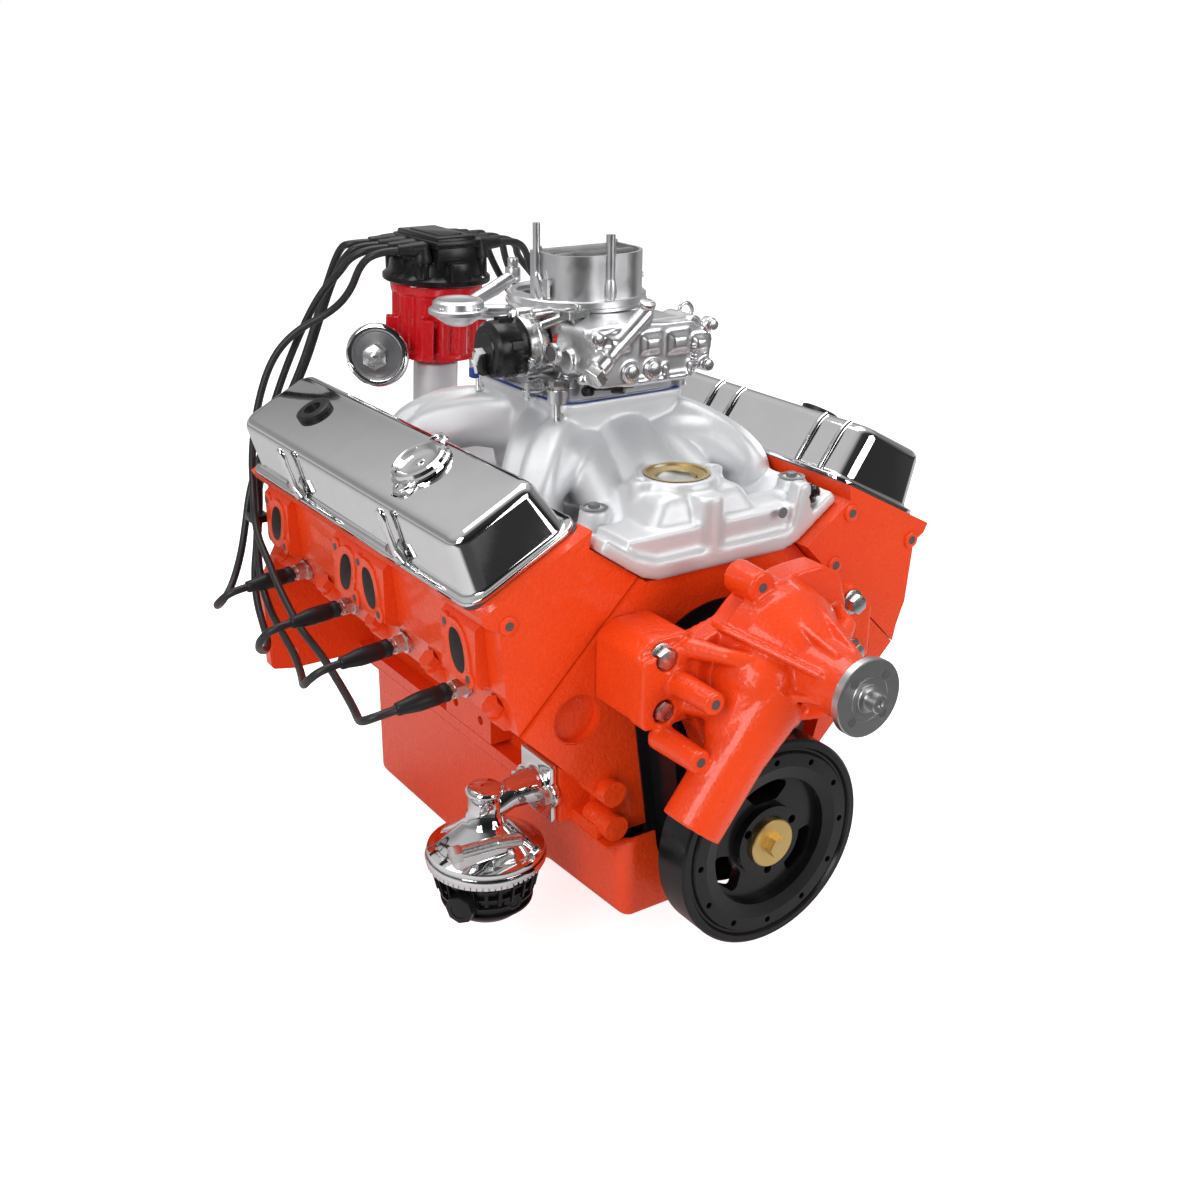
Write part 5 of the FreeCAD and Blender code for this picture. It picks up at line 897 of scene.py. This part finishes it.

# Two iron-coloured discs stand for the openings of two small fittings: painted shade.
mesh = bmesh.new()
drum(mesh, stand((-46, -348.4, 392), frontward), 3.4, 0.6, sides=24)
drum(mesh, stand((-86.2, -366, 407), nearward), 6.6, 3.4, sides=24)
finished("fitting_bore_shades", mesh, "cast_iron")

# Small coloured fittings: a red stopper, the white pins and the blue key of the choke's plug, and
# the blue gasket that shows round the carburettor's foot. The key is part of the gasket's piece.
def plain(name, colour, roughness):
    finish = Finish(name)
    tone = finish.noise(0.006)
    finish.set("Base Color", finish.mix(tone, colour, tuple(c * 0.85 for c in colour)))
    finish.set("Roughness", tone * 0.15 + roughness)
    return finish.material


finishes["red_nylon"] = plain("red_nylon", (0.62, 0.03, 0.012), 0.3)
finishes["blue_sheet"] = plain("blue_sheet", (0.010, 0.045, 0.30), 0.5)
finishes["white_nylon"] = plain("white_nylon", (0.72, 0.73, 0.74), 0.35)
mesh = bmesh.new()
drum(mesh, stand((-58, -330, 409), (-0.2, -0.95, 0.2)), 6.6, 11, soft=1.6, sides=28)
finished("red_stopper", mesh, "red_nylon")
mesh = bmesh.new()
for spot, angle, size in (((5, -6, -7), 30, (6, 13, 7)), ((9, -16, -6), -20, (5, 12, 6))):
    block(mesh, pod @ Matrix.Translation(spot) @ Matrix.Rotation(radians(angle), 4, "Z"), size, soft=1)
finished("choke_pins", mesh, "white_nylon")
mesh = bmesh.new()
block(mesh, pod @ Matrix.Translation((16, -23, -6)), (8, 9, 7), soft=1)
gasket_hole, gasket_edge = oval(66, 82, 8), oval(70.5, 86.5, 8)
gasket_foot, gasket_top = 358.1, 358.55
skin(mesh, Matrix.Translation((carb.x, carb.y, 0)),
     [(gasket_hole, gasket_foot), (gasket_edge, gasket_foot), (gasket_edge, gasket_top),
      (gasket_hole, gasket_top)])
finished("blue_gasket", mesh, "blue_sheet")

# Trim of the air horn: the return spring on the bowl, the vent rods' clips, the flange's rolled
# edge, a lever and three screws.
mesh = bmesh.new()
coil_radius = 3.6
coil = [Vector((40 + coil_radius * cos(radians(60 * turn)), -402 + coil_radius * sin(radians(60 * turn)),
                410 - turn * 0.5)) for turn in range(54)]
tube(mesh, [Vector((36, -398, 418))] + coil + [Vector((36, -399, 378))], 0.9, sides=8)
for x, y, z in ((-57, -291, 452), (-9, -339.4, 452)):
    lathe(mesh, Matrix.Translation((x, y, z)), [(3.4, -8), (5.4, -8), (5.8, 0), (4.6, 8), (3.4, 9)], steps=24)
lathe(mesh, Matrix.Translation((carb.x, carb.y, 433)),
      [(58, 7.4), (61, 9.2), (64, 9.2), (65.4, 8), (65.4, 6), (63.4, 5), (63.4, 3.2), (66.4, 2.2),
       (66.4, -0.6), (63, -2.4), (57, -3)], steps=96)
limb(mesh, [(-55, -300, 441, 5), (-60, -296, 462, 3.4)])
for x, y, z in ((-49, -280, 482), (36, -278, 482), (-46, -330, 433)):
    screw_head(mesh, (x, y, z - 0.5), (0, 0, 1), radius=4.2, height=4)
finished("horn_trim", mesh, "bright_aluminium")

# Hold-downs: bent wire handles that lie up the covers' outer walls, each with a zinc wing nut at
# its foot on the lip.
hold_down_places = (-107.7, 106.0)
wing_nut_u = 57.4
wire = [(58.5, 0.4, 9), (56.0, 1.0, 20), (53.4, 1.8, 40), (51.0, 4.0, 53), (49.6, 0, 59), (51.0, -4.0, 53),
        (53.4, -1.8, 40), (56.0, -1.0, 20), (58.5, -0.4, 9)]
handles, wings = bmesh.new(), bmesh.new()
for side in (-1, 1):
    for y in hold_down_places:
        place = cover_place(side)
        tube(handles, [place @ Vector((side * u, y + v, n)) for u, v, n in wire], 3.0)
        spot = place @ Vector((wing_nut_u * side, y, 5.0))
        up = (place.to_3x3() @ Vector((0, 0, 1))).normalized()
        drum(wings, stand(spot, up), 4.6, 9, soft=1.0, sides=20)
        for turn in (0, 180):
            wing = place @ Matrix.Translation((wing_nut_u * side, y, 9.5))
            wing = wing @ Matrix.Rotation(radians(90 + turn), 4, "Z")
            block(wings, wing @ Matrix.Translation((9.5, 0, 0)) @ Matrix.Rotation(radians(-30), 4, "Y"),
                  (15, 3, 10), soft=1.2, top=(0.8, 0.8))
finished("handles", handles, "chrome_plate", replaces=("cover_hold_downs",))
finished("wing_nuts", wings, "zinc_plate")

# Water pump: the CAD's housing and inlet pipe, with webs from the hub to the bolt ears and a lobe
# behind the inlet worked in. The three bosses' tapped holes are iron-coloured discs on their faces:
# painted shade standing for the holes.
mesh = copy_of("water_pump_housing")
hub_z = 183.8
pump_bolts = ((-107, 197), (-109, 150.5), (104, 198.5), (107, 150.5))
pump_bosses = (((-95.7, -620, 174), 10, 60), ((-108.6, -620, 125.7), 10.5, 58),
               ((-23.5, -586, 247.3), 13.5, 34))
for x, z, radius in ((-112, 202, 9), (-112, 150, 9), (100, 200, 8), (102, 152, 8)):
    limb(mesh, [(x * 0.22, -628, hub_z + (z - hub_z) * 0.3, 8), (x * 0.62, -600, z, 7),
                (x * 0.74, -570, z, radius)])
for x, z in pump_bolts:
    drum(mesh, stand((x, -548, z), frontward), 16, 11.6, tip=14.5, sides=28)
limb(mesh, [(-62, -606, 134, 27), (-34, -600, 172, 40)])
eyes = bmesh.new()
for (x, y, z), radius, length in pump_bosses:
    drum(mesh, stand((x, y + length, z), frontward), radius + 1.5, length, tip=radius, sides=28)
    drum(eyes, stand((x, y + 1, z), frontward), 4.2, 1.4, sides=20)
cast_together(mesh, 1.7, 4)
finished("pump_casting", mesh, "engine_paint", smooth=80, replaces=("water_pump_housing",))
mesh = bmesh.new()
for x, z in pump_bolts:
    hex_head(mesh, (x, -560.6, z), frontward, across=16, height=10, washer=11.5)
finished("pump_screws", mesh, "zinc_plate")

# Fan hub: turned steel, with a pilot, a shallow ring groove and four bolt holes. The holes are
# iron-coloured discs on the face, painted shade.
hub_place = stand((0, -684.7, hub_z), frontward)
mesh, holes = bmesh.new(), bmesh.new()
lathe(mesh, hub_place, [(0, -126), (5.9, -126), (5.9, -6), (15.8, -6), (15.8, 0), (32.7, 0), (33.5, 0.8),
                        (33.5, 7.2), (32.7, 8), (19.6, 8), (19.2, 7.4), (18.4, 7.4), (18, 8), (12.4, 8),
                        (12, 9.0), (8.4, 9.4), (7.9, 9.6), (7.9, 19.8), (7.0, 20.8), (3.4, 20.8),
                        (2.8, 19), (0, 18.6)], steps=64)
lathe(mesh, hub_place, [(0, -124), (44, -124), (44, -121), (0, -121)])
fan_bolt_circle = 23.5
for turn in range(4):
    angle = radians(45 + 90 * turn)
    spot = (fan_bolt_circle * cos(angle), fan_bolt_circle * sin(angle), 7)
    drum(holes, hub_place @ Matrix.Translation(spot), 4, 1.3, sides=24)
finished("fan_hub", mesh, "machined_steel", body="pump_rotor", replaces=("water_pump_rotor",))
finished("hub_hole_shades", holes, "cast_iron", body="pump_rotor")

# Head faces: small bosses with tapped holes on the front ends of both heads. The holes are
# iron-coloured discs, painted shade, in one piece with the water pump's.
bosses = bmesh.new()
for x, y, z in ((-213, -495.8, 225), (136, -518.2, 264), (216, -518.2, 223), (120, -518.2, 217)):
    drum(bosses, stand((x, y + 2, z), frontward), 8.5, 4.4, tip=8, soft=1, sides=28)
    drum(eyes, stand((x, y - 1.6, z), frontward), 4, 1.1, sides=20)
finished("head_bosses", bosses, "engine_paint")
finished("boss_hole_shades", eyes, "cast_iron")

# Fuel pump: a chromed body with a crimped rim, a cone and a neck over a black bowl with four rings
# and upright ribs, two eight-sided ports, and a slanting outlet bar with a hexagon end.
pump = Vector((-201, -430, -22))
pump_place = Matrix.Translation(pump)
crimps, ribs = 60, 24
arm_bolts = (-453, -407)
pump_ports = (((-248, -462, -52), (-226, -448, -52), 13.5), ((-199, -474, -54), (-194, -452, -54), 9))
mesh = bmesh.new()
limb(mesh, [(-196, -430, 20, 13), (-176, -430, 29, 14), (-152, -430, 30, 17)])
block(mesh, stand((-147.6, -430, 30), farward), (52, 58, 7.2))
for y in arm_bolts:
    drum(mesh, stand((-147.6, y, 28), farward), 11, 7.2, sides=24)
block(mesh, Matrix.Translation((-225, -462.5, -8)), (52, 11, 16))
cast_together(mesh, 1.4, 5)
lathe(mesh, pump_place,
      [(0, 0), (50, 0), (53, 1), (54, 4), (53, 7), (47, 9.2), (44, 10), (30, 21.5), (21, 29.5), (17.8, 33),
       (17, 38), (15.2, 41), (15.2, 58), (17, 60), (17, 63), (14, 66), (0, 66.4)], steps=72)
lathe(mesh, pump_place, [(50, 0), (54.6, 0.4), (55.4, -1.6), (54.8, -5), (51, -6.6), (48, -6)],
      steps=72)
for turn in range(crimps):
    rim = pump_place @ Matrix.Rotation(radians(360 / crimps * turn), 4, "Z")
    block(mesh, rim @ Matrix.Translation((51.6, 0, -9)), (3.0, 3.6, 4), soft=0.7)
finished("pump_lid", mesh, "chrome_plate", smooth=50, replaces=("fuel_pump_body",))
mesh = bmesh.new()
limb(mesh, [(-250, -464, 8, 5.5), (-214, -470, 10, 6), (-190, -468, 4, 6)])
hex_head(mesh, (-246, -465, 8), (-1, 0.1, 0), across=15, height=9)
for y in arm_bolts:
    hex_head(mesh, (-147.5, y, 28), nearward, across=13, height=8, washer=9)
finished("pump_bar", mesh, "zinc_plate")
mesh = bmesh.new()
bowl_foot = pump_place @ Matrix.Translation((0, 0, -60))
rings = [(0, 0.6), (24, 0.6), (30, 2.4), (36, 8)]
for z in (12, 22, 32, 42):
    rings += [(37 + z * 0.12, z), (40 + z * 0.16, z + 1), (40.6 + z * 0.16, z + 3.4),
              (38 + z * 0.12, z + 4.6)]
lathe(mesh, bowl_foot, rings + [(47, 51), (51.6, 55), (51.6, 59.4), (0, 59.4)], steps=64)
for turn in range(ribs):
    rib = bowl_foot @ Matrix.Rotation(radians(360 / ribs * turn), 4, "Z")
    block(mesh, rib @ Matrix.Translation((43.6, 0, 30)) @ Matrix.Rotation(radians(12), 4, "Y"), (5, 2.2, 22),
          soft=0.6)
for end, start, radius in pump_ports:
    way = Vector(end) - Vector(start)
    drum(mesh, stand(start, way), radius, way.length, soft=1.4, sides=8)
    lathe(mesh, stand(Vector(end), way),
          [(radius * 0.8, 0), (radius * 0.55, 0.5), (radius * 0.5, -6), (0, -6)], steps=24)
finished("pump_ribs", mesh, "black_paint", replaces=("fuel_pump_bowl",))
